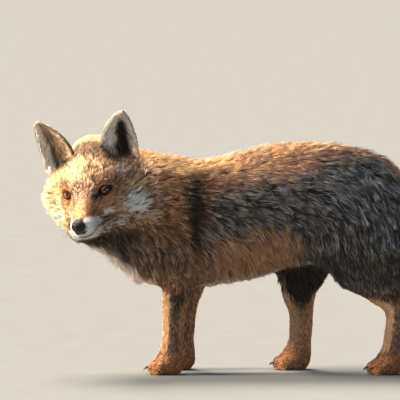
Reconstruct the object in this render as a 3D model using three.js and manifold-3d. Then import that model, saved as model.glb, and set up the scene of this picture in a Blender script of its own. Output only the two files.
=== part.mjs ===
// Red fox, life size, standing with its head turned to its left.
// The body is one smooth signed field, built from tubes and blobs that follow the bones and the outline
// of the coat. Each named piece is the surface of that field inside its own region, parted from its
// neighbours by a thin cut. Eyes, nose, ears and claws are pieces of their own.
// Units are millimetres, +Z up. The nose end is towards -X, and the fox's left side towards -Y.
import * as THREE from "three";
import { mergeVertices } from "three/addons/utils/BufferGeometryUtils.js";
import { triTable } from "three/addons/objects/MarchingCubes.js";
import Module from "manifold-3d";

const wasm = await Module();
wasm.setup();

// ---------------------------------------------------------------- driving dimensions
const GAP = 0.4; // width of every thin cut
const STANCE = 36; // sideways distance of each paw from the middle plane
const HOCK_HEIGHT = 108;
const WRIST_HEIGHT = 52;
const SHANK_TOP = 152; // where the left and right thighs end
const PAW_HEIGHT = 34;
const FLOOR = 0; // every paw is cut flat here
const EYE_RADIUS = 9.4;
const EYE_SIDE = 31.5; // eyeball centre from the middle of the face
const EYE_DEPTH = -5.5; // eyeball centre behind the eye line
const MOUTH = { corner: 1, level: -47.5 }; // where the jaw is parted from the head, in the head's frame
// Four toes, side by side: how far each pair lies before the paw's middle, and the step between toes.
const TOE = { outer: 15, inner: 23, step: 9.2, height: 11.5 };
const CLAW = { length: 13, radius: 2.3, ahead: 17, height: 8.6, droop: 22 };

const HEAD_AT = new THREE.Vector3(-186, -80, 301.5); // the point midway between the eyes
const HEAD_TURN = 73; // degrees from straight ahead, to the left
const HEAD_NOD = 26; // degrees down
const HEAD_TILT = 9; // degrees, left side up

// Grid steps along x, y and z of each surface.
const CELL = {
  trunk: [24.5, 20, 19.5],
  head: [7.9, 8, 7.7],
  thigh: [15, 13, 15],
  leg: [11.5, 11.5, 17],
  foot: [10, 10, 15],
  paw: [9.2, 8.2, 8.2],
  nose: [4.6, 4.6, 4.6],
};

const COLOURS = {
  coat: "#a8673a",
  flank: "#6d5c4c",
  mask: "#c58a52",
  pale: "#e6ddcc",
  stocking: "#3a2a20",
  brush: "#8d6a4c",
  nose: "#15120f",
  eye: "#7d4a1c",
  claw: "#2b241d",
};

const vec = (x, y, z) => new THREE.Vector3(x, y, z);
const rad = THREE.MathUtils.degToRad;

// ---------------------------------------------------------------- fields
// A field is a function of x, y, z that is negative inside, and about a distance near its surface.

// Joins two fields with a fillet of about k.
function blend(a, b, k) {
  const h = Math.max(k - Math.abs(a - b), 0) / k;
  return Math.min(a, b) - h * h * k * 0.25;
}

function ellipseDistance(k0, k1) {
  return k1 < 1e-9 ? -1e3 : (k0 * (k0 - 1)) / k1;
}

// An ellipsoid with its own axes: radii along x, y, z after a turn about X, Y and Z, in degrees.
function blob(centre, radii, turn = [0, 0, 0]) {
  const back = new THREE.Matrix4()
    .makeRotationFromEuler(new THREE.Euler(...turn.map(rad)))
    .setPosition(centre)
    .invert();
  const e = back.elements;
  const [rx, ry, rz] = radii;
  return (x, y, z) => {
    const u = (e[0] * x + e[4] * y + e[8] * z + e[12]) / rx;
    const v = (e[1] * x + e[5] * y + e[9] * z + e[13]) / ry;
    const w = (e[2] * x + e[6] * y + e[10] * z + e[14]) / rz;
    return ellipseDistance(Math.hypot(u, v, w), Math.hypot(u / rx, v / ry, w / rz));
  };
}

// A tube of changing oval section along a smooth line through its stations.
// A station is [x, y, z, half width, half height], and both ends are rounded by `end`.
function tube(stations, { steps = 22, end = 0.6, square = 2 } = {}) {
  const line = new THREE.CatmullRomCurve3(stations.map((s) => vec(s[0], s[1], s[2])));
  const sizes = new THREE.CatmullRomCurve3(stations.map((s) => vec(s[3], s[4], 0)));
  const rings = Array.from({ length: steps + 1 }, (_, i) => {
    const t = i / steps;
    const at = line.getPoint(t);
    const size = sizes.getPoint(t);
    const along = line.getTangent(t);
    const side = vec(0, 0, 1).cross(along);
    if (side.length() < 0.2) side.set(0, 1, 0); // a tube that stands upright keeps its width along Y
    side.normalize().multiplyScalar(side.y < 0 ? -1 : 1);
    return { at, along, side, up: along.clone().cross(side), size };
  });
  const segments = rings.slice(1).map((b, i) => {
    const a = rings[i];
    const step = b.at.clone().sub(a.at);
    return { a, b, step, length2: step.lengthSq() };
  });
  return (x, y, z) => {
    let nearest = Infinity;
    let found = null;
    let share = 0;
    for (const s of segments) {
      const px = x - s.a.at.x;
      const py = y - s.a.at.y;
      const pz = z - s.a.at.z;
      const t = Math.min(1, Math.max(0, (px * s.step.x + py * s.step.y + pz * s.step.z) / s.length2));
      const d = (px - t * s.step.x) ** 2 + (py - t * s.step.y) ** 2 + (pz - t * s.step.z) ** 2;
      if (d < nearest) {
        nearest = d;
        found = s;
        share = t;
      }
    }
    const mix = (p, q) => p + (q - p) * share;
    const { a, b } = found;
    const px = x - mix(a.at.x, b.at.x);
    const py = y - mix(a.at.y, b.at.y);
    const pz = z - mix(a.at.z, b.at.z);
    const dot = (k) => px * mix(a[k].x, b[k].x) + py * mix(a[k].y, b[k].y) + pz * mix(a[k].z, b[k].z);
    const wide = mix(a.size.x, b.size.x);
    const high = mix(a.size.y, b.size.y);
    const long = Math.min(wide, high) * end;
    const u = Math.abs(dot("side")) / wide;
    const v = Math.abs(dot("up")) / high;
    const w = Math.abs(dot("along")) / long;
    const oval = (p, q) => (square === 2 ? Math.hypot(p, q) : (p ** square + q ** square) ** (1 / square));
    const k0 = Math.hypot(oval(u, v), w);
    return ellipseDistance(k0, Math.hypot(oval(u / wide, v / high), w / long));
  };
}

// Joins several [field, fillet] pairs onto the first.
function joined(first, ...others) {
  return (x, y, z) => others.reduce((d, [field, k]) => blend(d, field(x, y, z), k), first(x, y, z));
}

// ---------------------------------------------------------------- trunk, neck and tail
// Stations of the trunk: [x, top, bottom, half width] of the coat's outline, from shoulders to rump.
const trunkField = tube(
  [
    [-62, 350, 156, 62],
    [-20, 346, 142, 73],
    [30, 349, 145, 79],
    [78, 367, 155, 80],
    [130, 380, 169, 77],
    [182, 383, 180, 73],
    [236, 379, 190, 73],
    [284, 363, 206, 69],
    [316, 320, 220, 53],
  ].map(([x, top, bottom, half]) => [x, 0, (top + bottom) / 2, half, (top - bottom) / 2]),
  { steps: 30, end: 0.5 },
);

const neckField = tube(
  [
    [-38, 0, 249, 66, 95],
    [-88, 0, 269, 64, 91],
    [-132, -5, 294, 63, 88],
    [-164, -14, 318, 61, 74],
    [-180, -26, 330, 56, 60],
  ],
  { end: 0.7 },
);
const napeField = blob(vec(-172, 4, 352), [46, 42, 40]);
const breastField = blob(vec(-104, 0, 214), [52, 52, 52], [0, -38, 0]);
const throatField = blob(vec(-170, -36, 238), [34, 34, 31]);

const TAIL = [
  [312, 0, 294, 30, 30],
  [354, 0, 270, 33, 33],
  [398, 1, 226, 38, 38],
  [434, 3, 172, 43, 43],
  [472, 7, 124, 44, 44],
  [518, 13, 92, 37, 37],
  [558, 18, 78, 20, 20],
];
const tailLine = new THREE.CatmullRomCurve3(TAIL.map(([x, y, z]) => vec(x, y, z)));
const tailField = tube(TAIL, { steps: 30, end: 1.5 });

// ---------------------------------------------------------------- legs
// side is -1 for the left legs and 1 for the right ones. Every leg ends in a paw at `toe`, its toes' middle.
function toeTips(x, side) {
  return [-1.5, -0.5, 0.5, 1.5].map((k) =>
    vec(x - (Math.abs(k) > 1 ? TOE.outer : TOE.inner), side * STANCE + k * TOE.step, TOE.height),
  );
}

function pawField(x, side) {
  const y = side * STANCE;
  const toes = toeTips(x, side).map((tip) => [blob(tip, [15, 6.8, 12.5], [0, -14, 0]), 3]);
  const heel = blob(vec(x + 5, y, 13), [22, 15.5, 15]);
  return joined(heel, ...toes, [blob(vec(x + 2, y, 27), [20, 15, 20], [0, -30, 0]), 12]);
}

function foreleg(x, side) {
  const y = side * STANCE;
  const limb = tube([
    [x + 22, side * 46, 214, 26, 36],
    [x + 16, side * 44, 176, 24, 33],
    [x + 6, side * 40, 136, 19, 25],
    [x + 1, side * 38, 96, 15.5, 20],
    [x - 1, side * 37, WRIST_HEIGHT + 8, 15.5, 18.5],
    [x - 3, y, 30, 14.5, 17.5],
  ]);
  const shoulder = blob(vec(x + 6, side * 42, 240), [52, 32, 66], [0, 18, 0]);
  return { limb, shoulder, paw: pawField(x - 8, side), x, side };
}

// The stations of a hind leg are [x, z, half width across, half width along].
function hindLeg({ thigh, shank, breech, ham, foot }, side) {
  const limb = (stations, out) =>
    tube(stations.map(([x, z, across, along]) => [x, side * out, z, across, along]));
  const parts = [
    [limb(thigh, 40), 34],
    [limb(shank, 38), 14],
    [pawField(foot - 8, side), 12],
  ];
  if (breech) parts.push([limb(breech, 37), 26]);
  if (ham) parts.push([blob(vec(ham[0], side * 38, ham[1]), [44, 34, 52]), 24]);
  return { parts, foot, side };
}

const forelegs = { left: foreleg(-44, -1), right: foreleg(-26, 1) };
const hindlegs = {
  left: hindLeg(
    {
      thigh: [
        [290, 282, 36, 52],
        [268, 234, 35, 54],
        [240, 188, 28, 38],
        [284, 150, 21, 29],
        [327, 116, 14, 19],
      ],
      shank: [
        [330, 118, 13, 17],
        [323, 88, 13.5, 18.5],
        [320, 58, 13.5, 18.5],
        [319, 28, 14, 18],
      ],
      breech: [
        [312, 270, 31, 38],
        [316, 212, 30, 44],
        [335, 156, 20, 31],
        [341, 118, 12, 18],
      ],
      ham: [292, 202],
      foot: 318,
    },
    -1,
  ),
  right: hindLeg(
    {
      thigh: [
        [252, 282, 36, 52],
        [208, 236, 35, 56],
        [172, 200, 30, 54],
      ],
      shank: [
        [172, 200, 30, 54],
        [172, 158, 25, 49],
        [165, 128, 18, 31.5],
        [168, 100, 14, 22],
        [168, 68, 13.5, 20],
        [166, 30, 14, 19],
      ],
      foot: 165,
    },
    1,
  ),
};

// ---------------------------------------------------------------- head
// Inside the head's own frame, x runs forward from the eye line, y to the fox's left and z up.
const headMatrix = (() => {
  const turn = rad(HEAD_TURN);
  const nod = rad(HEAD_NOD);
  const forward = vec(-Math.cos(turn) * Math.cos(nod), -Math.sin(turn) * Math.cos(nod), -Math.sin(nod));
  const level = vec(0, 0, 1).cross(forward).normalize();
  const rise = forward.clone().cross(level);
  const left = level.clone().multiplyScalar(Math.cos(rad(HEAD_TILT)));
  left.addScaledVector(rise, Math.sin(rad(HEAD_TILT)));
  return new THREE.Matrix4().makeBasis(forward, left, forward.clone().cross(left)).setPosition(HEAD_AT);
})();
const toHead = headMatrix.clone().invert().elements;

function inHead(field) {
  const e = toHead;
  return (x, y, z) =>
    field(
      e[0] * x + e[4] * y + e[8] * z + e[12],
      e[1] * x + e[5] * y + e[9] * z + e[13],
      e[2] * x + e[6] * y + e[10] * z + e[14],
    );
}

const SIDES = [-1, 1]; // right, left in the head's frame
const bothSides = (make) => SIDES.map(make);

// Stations of the skull: [x, top, bottom, half width].
const skullField = tube(
  [
    [-88, 32, -44, 54],
    [-70, 43, -54, 64],
    [-46, 43, -60, 62],
    [-22, 30, -60, 50],
    [0, 12, -56, 36],
    [14, 4, -53, 28],
  ].map(([x, top, bottom, half]) => [x, 0, (top + bottom) / 2, half, (top - bottom) / 2]),
  { end: 0.5 },
);
const muzzleField = tube(
  [
    [-4, 5, -54, 27],
    [18, 0, -52, 22],
    [40, -8, -50, 18.5],
    [59, -15, -47, 15.5],
  ].map(([x, top, bottom, half]) => [x, 0, (top + bottom) / 2, half, (top - bottom) / 2]),
  { end: 0.55, square: 2.5 },
);
const jawField = tube(
  [
    [-14, 0, -50, 26, 9],
    [20, 0, -51, 17, 8],
    [44, 0, -51, 12.5, 6.5],
    [55, 0, -51, 9.5, 5.5],
  ],
  { end: 0.9 },
);

const headShape = joined(
  skullField,
  [muzzleField, 14],
  [jawField, 5],
  ...bothSides((s) => [blob(vec(-42, s * 51, -37), [31, 51, 54], [0, 0, s * 16]), 20]), // cheek ruff
  ...bothSides((s) => [blob(vec(-14, s * 24, 11), [22, 17, 12], [s * -12, 22, 0]), 12]), // brow
  ...bothSides((s) => [blob(vec(-12, s * 32, -13), [20, 14, 11], [0, 0, s * 12]), 10]), // cheekbone
  ...bothSides((s) => [blob(vec(-72, s * 52, 4), [22, 28, 20], [s * -20, 0, 0]), 16]), // root of the ear
  ...bothSides((s) => [blob(vec(47, s * 7.5, -34), [18, 12, 13]), 7]), // whisker pads
);

const eyeCentre = (s) => vec(EYE_DEPTH, s * EYE_SIDE, 0);
// Hollows of the head: one for each eye, open forward and outward, and one before each ear's cup.
const hollows = [
  ...bothSides((s) => [inHead(blob(vec(7, s * 33, 0.5), [15, 13, 8.4], [s * 8, -6, s * 24])), 5]),
  ...bothSides((s) => [inHead(blob(vec(-73, s * 52, 44), [17, 26, 27], [s * -16, 0, 0])), 9]),
];
// Takes [field, fillet] hollows out of a field.
function hollowed(field, cuts) {
  return (x, y, z) => cuts.reduce((d, [cut, k]) => -blend(-d, cut(x, y, z), k), field(x, y, z));
}

// ---------------------------------------------------------------- the whole body
const wholeShape = joined(
  trunkField,
  [neckField, 44],
  [breastField, 34],
  [throatField, 22],
  [napeField, 26],
  ...Object.values(forelegs).flatMap((leg) => [
    [leg.shoulder, 30],
    [leg.limb, 20],
    [leg.paw, 12],
  ]),
  ...Object.values(hindlegs).flatMap((leg) => leg.parts),
  [tailField, 24],
  [inHead(headShape), 16],
);
const bodyField = hollowed(wholeShape, hollows);

// ---------------------------------------------------------------- surfaces
const CORNERS = [
  [0, 0, 0],
  [1, 0, 0],
  [1, 1, 0],
  [0, 1, 0],
  [0, 0, 1],
  [1, 0, 1],
  [1, 1, 1],
  [0, 1, 1],
];
const AROUND = [0, 1, 2, 3];
const EDGES = [
  ...AROUND.map((n) => [n, (n + 1) % 4]), // below
  ...AROUND.map((n) => [n + 4, ((n + 1) % 4) + 4]), // above
  ...AROUND.map((n) => [n, n + 4]), // upright
];
const SNAP = 0.3; // a crossing this near a grid point moves onto it, which keeps triangles from being slivers
const TABLE_ROW = 16;

// Grid lines from low to high, a step apart, the step growing with distance from the middle.
function gridLines(low, high, step, middle, growth) {
  const lines = [middle];
  while (lines.at(-1) < high) lines.push(lines.at(-1) + step * (1 + growth * (lines.at(-1) - middle)));
  while (lines[0] > low) lines.unshift(lines[0] - step * (1 + growth * (middle - lines[0])));
  return lines;
}

// The closed surface of a field inside a box, by marching cubes, with its vertices drawn onto the field.
// The box may lie in a frame of its own, with a grid that grows coarser away from `focus`.
function surface(field, box, cell, { frame = new THREE.Matrix4(), focus = null, growth = 0 } = {}) {
  const middle = (focus ?? box.min).toArray();
  const lows = box.min.toArray();
  const highs = box.max.toArray();
  const lines = cell.map((step, axis) => gridLines(lows[axis], highs[axis], step, middle[axis], growth));
  const count = lines.map((line) => line.length);
  const index = (i, j, k) => i + count[0] * (j + count[1] * k);
  const value = new Float64Array(count[0] * count[1] * count[2]);
  const points = [];
  const onRim = [];
  for (let k = 0; k < count[2]; k++)
    for (let j = 0; j < count[1]; j++)
      for (let i = 0; i < count[0]; i++) {
        const p = vec(lines[0][i], lines[1][j], lines[2][k]).applyMatrix4(frame);
        const rim = [i, j, k].some((n, axis) => n === 0 || n === count[axis] - 1);
        const d = field(p.x, p.y, p.z);
        value[index(i, j, k)] = rim ? Math.max(d, cell[0] * 0.5) : d;
        onRim.push(rim);
        points.push(p);
      }
  const vertices = [];
  const free = [];
  const numbers = new Map();
  const crossing = (a, b) => {
    const t = value[a] / (value[a] - value[b]);
    const share = t < SNAP ? 0 : t > 1 - SNAP ? 1 : t;
    const key = share === 0 ? `${a}` : share === 1 ? `${b}` : `${Math.min(a, b)}_${Math.max(a, b)}`;
    if (!numbers.has(key)) {
      numbers.set(key, vertices.length);
      vertices.push(points[a].clone().lerp(points[b], share));
      if (!onRim[a] && !onRim[b]) free.push(vertices.at(-1));
    }
    return numbers.get(key);
  };
  const triangles = [];
  for (let k = 0; k < count[2] - 1; k++)
    for (let j = 0; j < count[1] - 1; j++)
      for (let i = 0; i < count[0] - 1; i++) {
        const corner = CORNERS.map(([x, y, z]) => index(i + x, j + y, k + z));
        const bits = corner.reduce((sum, c, n) => sum | (value[c] < 0 ? 1 << n : 0), 0);
        for (let n = bits * TABLE_ROW; triTable[n] >= 0; n += 3) {
          const tri = [0, 1, 2].map((m) => {
            const [a, b] = EDGES[triTable[n + m]];
            return crossing(corner[a], corner[b]);
          });
          if (new Set(tri).size === 3) triangles.push(tri);
        }
      }
  for (const p of free) drawOnto(field, p);
  const geometry = new THREE.BufferGeometry().setFromPoints(vertices).setIndex(triangles.flat());
  return solid(geometry);
}

// Moves a point along the field's slope onto its surface.
function drawOnto(field, p) {
  const e = 0.5;
  for (let round = 0; round < 3; round++) {
    const d = field(p.x, p.y, p.z);
    const slope = vec(
      field(p.x + e, p.y, p.z) - field(p.x - e, p.y, p.z),
      field(p.x, p.y + e, p.z) - field(p.x, p.y - e, p.z),
      field(p.x, p.y, p.z + e) - field(p.x, p.y, p.z - e),
    ).divideScalar(2 * e);
    p.addScaledVector(slope, -d / Math.max(slope.lengthSq(), 0.2));
  }
}

// ---------------------------------------------------------------- solids
function solid(geometry) {
  const bare = geometry.clone();
  bare.deleteAttribute("normal");
  bare.deleteAttribute("uv");
  const merged = mergeVertices(bare, 1e-4);
  const triVerts = new Uint32Array(merged.index.array);
  const vertProperties = new Float32Array(merged.attributes.position.array);
  const make = () => new wasm.Manifold(new wasm.Mesh({ numProp: 3, vertProperties, triVerts }));
  if (make().volume() > 0) return make();
  for (let i = 0; i < triVerts.length; i += 3) triVerts.subarray(i, i + 2).reverse();
  return make();
}

function geometryOf(manifold) {
  const mesh = manifold.getMesh();
  return new THREE.BufferGeometry()
    .setAttribute("position", new THREE.BufferAttribute(mesh.vertProperties, 3))
    .setIndex(new THREE.BufferAttribute(mesh.triVerts, 1))
    .toNonIndexed();
}

// A box between two corners, optionally turned and placed by a matrix.
function block(low, high, matrix = new THREE.Matrix4()) {
  const size = vec(...high).sub(vec(...low));
  const geometry = new THREE.BoxGeometry(...size.toArray());
  const middle = vec(...low).addScaledVector(size, 0.5);
  geometry.translate(...middle.toArray()).applyMatrix4(matrix);
  return solid(geometry);
}

// The same box, larger by a thin cut on every side.
const grownBlock = (low, high, matrix) =>
  block(
    low.map((v) => v - GAP),
    high.map((v) => v + GAP),
    matrix,
  );

// A frame at a point whose X axis runs along a direction: the place of a cut across a limb.
function across(at, along) {
  const x = along.clone().normalize();
  const y = vec(0, 0, 1).cross(x).normalize();
  return new THREE.Matrix4().makeBasis(x, y, x.clone().cross(y)).setPosition(at);
}

const BIG = 400;
const behind = (frame, gap = 0) => block([-BIG * 2, -BIG, -BIG], [-gap, BIG, BIG], frame);
const ahead = (frame, gap = 0) => block([gap, -BIG, -BIG], [BIG * 2, BIG, BIG], frame);

const fox = new THREE.Group();
const body = new THREE.Group();
const face = new THREE.Group(); // holds what is shaped in the head's frame
face.position.copy(HEAD_AT);
face.quaternion.setFromRotationMatrix(headMatrix);
body.add(face);
fox.add(body);

function add(name, manifold, colour, { parent = body, roughness = 0.85 } = {}) {
  const pieces = manifold.decompose().sort((a, b) => b.volume() - a.volume());
  const material = new THREE.MeshStandardMaterial({ color: COLOURS[colour], roughness, metalness: 0 });
  const geometry = geometryOf(pieces[0]);
  geometry.computeVertexNormals();
  const mesh = new THREE.Mesh(geometry, material);
  mesh.name = name;
  parent.add(mesh);
  return mesh;
}

// ---------------------------------------------------------------- where the body is parted
const neckCut = across(vec(-72, 0, 262), vec(-1, 0, 0.38));
const napeCut = across(vec(-140, 0, 310), vec(-0.61, -0.78, 0.15));
const tailRoot = across(tailLine.getPoint(0.1), tailLine.getTangent(0.1));
// The tail is what lies behind its root and above a plane that leans back over both thighs.
const breechCut = across(vec(366, 0, 200), vec(1, 0, 0.62));
const tailRegion = (grow) => ahead(tailRoot, -grow).intersect(ahead(breechCut, -grow));
const headRegion = (grow) =>
  block([-180, -130, -76 - grow], [120, 130, 160], headMatrix).intersect(ahead(napeCut, -grow));
const tailCuts = [0.42, 0.76].map((t) => across(tailLine.getPoint(t), tailLine.getTangent(t)));

// Low and high corner of the region that each leg takes from the trunk.
const legRegions = {
  foreleg_left: [[-92, -110, -5], [22, -GAP, 133]],
  foreleg_right: [[-80, GAP, -5], [36, 110, 134]],
  hind_leg_left: [[192, -120, -5], [400, -GAP, 204]],
  hind_leg_right: [[96, GAP, -5], [400, 120, 196]],
};

const box3 = (low, high) => new THREE.Box3(vec(...low), vec(...high));

// A solid of the face, moved from the head's frame to the body's.
const placed = (shape) => shape.transform(headMatrix.elements);

// ---------------------------------------------------------------- ears
// An ear is a leaf-shaped cup: two edges that curve to the tip, and a hollow between them, facing forward.
const EAR = {
  inner: [
    [-63, 25, 20],
    [-66, 23, 44],
    [-68, 33, 70],
    [-69, 49, 90],
    [-69, 65, 102],
    [-68, 76, 106.5],
  ],
  outer: [
    [-67, 74, -12],
    [-71, 84, 14],
    [-74, 88, 45],
    [-73, 87, 80],
    [-70, 83, 99],
    [-68, 76, 106.5],
  ],
  thickness: 6.5,
  cup: 21, // depth of the hollow at the root
  rows: 9,
  columns: 6,
  reach: 0.985, // how far the rows run towards the tip
  taper: 0.45, // the share of its thickness that is lost by the tip
};

function earSolid(s, grow = 0) {
  const [innerEdge, outerEdge] = [EAR.inner, EAR.outer].map(
    (points) => new THREE.CatmullRomCurve3(points.map((p) => vec(...p))),
  );
  const [innerRoot, outerRoot, tip] = [innerEdge.getPoint(0), outerEdge.getPoint(0), innerEdge.getPoint(1)];
  const facing = outerRoot.sub(innerRoot).cross(tip.sub(innerRoot)).normalize();
  const point = (i, j, layer) => {
    const t = (i / EAR.rows) * EAR.reach;
    const a = innerEdge.getPoint(t);
    const b = outerEdge.getPoint(t);
    const across = ((j / EAR.columns) * 2 - 1) * (1 + (2 * grow) / a.distanceTo(b));
    const p = a.clone().lerp(b, (across + 1) / 2);
    const deep = EAR.cup * (1 - t) ** 0.75 * (1 - across * across);
    const thick = (EAR.thickness * (1 - EAR.taper * t) + 2 * grow) * (layer - 0.5);
    p.addScaledVector(facing, -deep + thick);
    if (i === 0) p.z -= grow;
    return new THREE.Vector3(p.x, s * p.y, p.z);
  };
  const wide = EAR.columns + 1;
  const layerSize = wide * (EAR.rows + 1);
  const vertices = [0, 1].flatMap((layer) =>
    Array.from({ length: layerSize }, (_, n) => point(Math.floor(n / wide), n % wide, layer)),
  );
  const faces = [];
  const quad = (a, b, c, d) => faces.push(a, b, c, a, c, d);
  for (let i = 0; i < EAR.rows; i++)
    for (let j = 0; j < EAR.columns; j++) {
      const n = i * wide + j;
      quad(n, n + 1, n + wide + 1, n + wide);
      quad(layerSize + n, layerSize + n + wide, layerSize + n + wide + 1, layerSize + n + 1);
    }
  const rim = [];
  for (let j = 0; j < EAR.columns; j++) rim.push([j, j + 1]);
  for (let i = 0; i < EAR.rows; i++) rim.push([i * wide + EAR.columns, (i + 1) * wide + EAR.columns]);
  for (let j = EAR.columns; j > 0; j--) rim.push([EAR.rows * wide + j, EAR.rows * wide + j - 1]);
  for (let i = EAR.rows; i > 0; i--) rim.push([i * wide, (i - 1) * wide]);
  for (const [a, b] of rim) quad(b, a, layerSize + a, layerSize + b);
  return solid(new THREE.BufferGeometry().setFromPoints(vertices).setIndex(faces));
}

// ---------------------------------------------------------------- pieces
const torso = surface(bodyField, box3([-262, -112, 16], [610, 112, 430]), CELL.trunk);
let trunk = torso.intersect(behind(neckCut)).subtract(tailRegion(GAP)).subtract(headRegion(GAP));
for (const [low, high] of Object.values(legRegions)) trunk = trunk.subtract(grownBlock(low, high));
add("trunk", trunk, "flank");

const earRoom = bothSides((s) => placed(earSolid(s, GAP)));
const withoutEars = (shape) => earRoom.reduce((rest, ear) => rest.subtract(ear), shape);
add("neck", withoutEars(torso.intersect(ahead(neckCut, GAP)).subtract(headRegion(GAP))), "coat");

const tail = torso.intersect(tailRegion(0));
add("tail_base", tail.intersect(behind(tailCuts[0], GAP)), "brush");
add("tail_middle", tail.intersect(ahead(tailCuts[0])).intersect(behind(tailCuts[1], GAP)), "brush");
add("tail_tip", tail.intersect(ahead(tailCuts[1])), "pale");

// Parts one leg at the given heights: pieces are [name, top height, cell, colour] from the body down.
function addLeg(region, pieces, paw) {
  const [low, high] = legRegions[region];
  let last;
  pieces.forEach(([name, top, cell, colour], i) => {
    const bottom = i + 1 < pieces.length ? pieces[i + 1][1] + GAP : FLOOR;
    const room = box3([low[0] - 9, low[1], bottom - 15], [high[0] + 9, high[1] + 20, top + 15]);
    const span = surface(bodyField, room, cell);
    const slab = block([low[0], low[1], bottom], [high[0], high[1], Math.min(top, high[2])]);
    last = { name, shape: span.intersect(slab).subtract(tailRegion(GAP)) };
    add(name, last.shape, colour);
  });
  addClaws(paw, last);
}

// Four claws before the toes of a paw, each a cone cut by the paw and then moved just clear of it.
function addClaws({ x, side }, { name, shape }) {
  toeTips(x, side).forEach((tip, i) => {
    const at = vec(tip.x - CLAW.ahead, tip.y, CLAW.height);
    const cone = new THREE.ConeGeometry(CLAW.radius, CLAW.length, 6).rotateX(rad(90));
    cone.rotateY(rad(-90 - CLAW.droop));
    const paw = shape.translate(at.clone().negate().toArray());
    const claw = add(`${name}_claw_${i + 1}`, solid(cone).subtract(paw), "claw", { roughness: 0.45 });
    claw.position.set(at.x - GAP, at.y, at.z);
  });
}

for (const [side, leg] of Object.entries(forelegs)) {
  addLeg(
    `foreleg_${side}`,
    [
      [`foreleg_${side}`, BIG, CELL.leg, "stocking"],
      [`forefoot_${side}`, WRIST_HEIGHT, CELL.foot, "stocking"],
      [`forepaw_${side}`, PAW_HEIGHT, CELL.paw, "stocking"],
    ],
    { x: leg.x - 8, side: leg.side },
  );
}
for (const [side, leg] of Object.entries(hindlegs)) {
  addLeg(
    `hind_leg_${side}`,
    [
      [`thigh_${side}`, BIG, CELL.thigh, "flank"],
      [`shank_${side}`, SHANK_TOP, CELL.leg, "coat"],
      [`hind_foot_${side}`, HOCK_HEIGHT + 12, CELL.foot, "stocking"],
      [`hind_paw_${side}`, PAW_HEIGHT, CELL.paw, "stocking"],
    ],
    { x: leg.foot - 8, side: leg.side },
  );
}

// ---------------------------------------------------------------- head, jaw, nose and eyes
const headSurface = (field) =>
  surface(field, box3([-176, -112, -98], [86, 112, 74]), CELL.head, {
    frame: headMatrix,
    focus: vec(22, 0, -14),
    growth: 0.014,
  });
const headSpan = headSurface(bodyField);

const noseShape = joined(blob(vec(66, 0, -24), [11, 11.8, 10.2], [0, -8, 0]), [
  blob(vec(61, 0, -33), [9, 4, 6]),
  4,
]);
const nostrils = bothSides((s) => [blob(vec(75.5, s * 5.6, -23.5), [5, 2.2, 3], [s * 24, 0, s * 22]), 1.6]);
const noseSolid = (grow) => {
  const field = hollowed((x, y, z) => noseShape(x, y, z) - grow, nostrils);
  return surface(field, box3([44, -18, -46], [84, 18, -8]), CELL.nose);
};
add("nose", noseSolid(0), "nose", { parent: face, roughness: 0.35 });

const eyeBall = (grow) => solid(new THREE.IcosahedronGeometry(EYE_RADIUS + grow, 2));
SIDES.forEach((s) => {
  const side = s < 0 ? "right" : "left";
  const eye = add(`eye_${side}`, eyeBall(0), "eye", { parent: face, roughness: 0.1 });
  eye.position.copy(eyeCentre(s));
  add(`ear_${side}`, earSolid(s), "pale", { parent: face });
});

// What the eyes and the nose take from the head.
const rooms = [
  ...bothSides((s) => placed(eyeBall(GAP).translate(eyeCentre(s).toArray()))),
  placed(noseSolid(GAP * 3)),
];
const jawRegion = (grow) =>
  block([MOUTH.corner - grow, -60, -90], [110, 60, MOUTH.level + grow], headMatrix);
const bareHead = rooms.reduce((rest, cut) => rest.subtract(cut), headSpan);
const wholeHead = withoutEars(bareHead.intersect(headRegion(0)));
add("lower_jaw", wholeHead.intersect(jawRegion(0)), "pale");
add("head", wholeHead.subtract(jawRegion(GAP)), "mask");

// The origin is on the floor, under the middle of the whole animal.
const bounds = new THREE.Box3().setFromObject(body, true);
const middle = bounds.getCenter(vec());
body.position.set(-middle.x, -middle.y, -bounds.min.z);

export default fox;
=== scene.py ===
"""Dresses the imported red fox: one skin, eyes with lids, nose, claws, whiskers and a coat of solid tufts.

Everything is in metres, in the row frame: -X towards the nose end, +Y towards the fox's right, +Z up.
"""

import math
from collections import namedtuple

import bmesh
import bpy
import numpy as np
from bpy.props import BoolProperty, FloatProperty, FloatVectorProperty, IntProperty, PointerProperty
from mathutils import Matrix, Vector
from mathutils.bvhtree import BVHTree
from mathutils.kdtree import KDTree


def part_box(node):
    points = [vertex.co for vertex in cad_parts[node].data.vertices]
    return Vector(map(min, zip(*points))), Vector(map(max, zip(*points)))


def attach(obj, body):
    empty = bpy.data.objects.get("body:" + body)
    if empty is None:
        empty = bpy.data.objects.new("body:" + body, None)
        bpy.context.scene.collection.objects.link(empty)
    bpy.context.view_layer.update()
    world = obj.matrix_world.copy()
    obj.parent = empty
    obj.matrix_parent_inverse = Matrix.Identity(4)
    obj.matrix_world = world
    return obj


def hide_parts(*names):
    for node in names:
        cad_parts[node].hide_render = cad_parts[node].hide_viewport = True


bl_info = {
    "name": "Red Fox",
    "version": (1, 0, 0),
    "blender": (4, 5, 0),
    "location": "View3D > Sidebar > Fox",
    "description": "Skin, eyes, nose, claws, whiskers and fur of a standing red fox",
    "category": "Object",
}

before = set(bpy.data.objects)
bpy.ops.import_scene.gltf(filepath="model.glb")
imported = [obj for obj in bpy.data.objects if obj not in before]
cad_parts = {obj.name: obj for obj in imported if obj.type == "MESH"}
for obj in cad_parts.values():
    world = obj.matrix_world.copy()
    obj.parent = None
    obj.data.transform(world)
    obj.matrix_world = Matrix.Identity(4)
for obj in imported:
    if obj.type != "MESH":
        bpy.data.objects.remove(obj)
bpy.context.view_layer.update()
MM = 0.001

# ---------------------------------------------------------------- places taken from the frame


def middle_of(node):
    low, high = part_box(node)
    return (np.array(low) + np.array(high)) / 2


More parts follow.
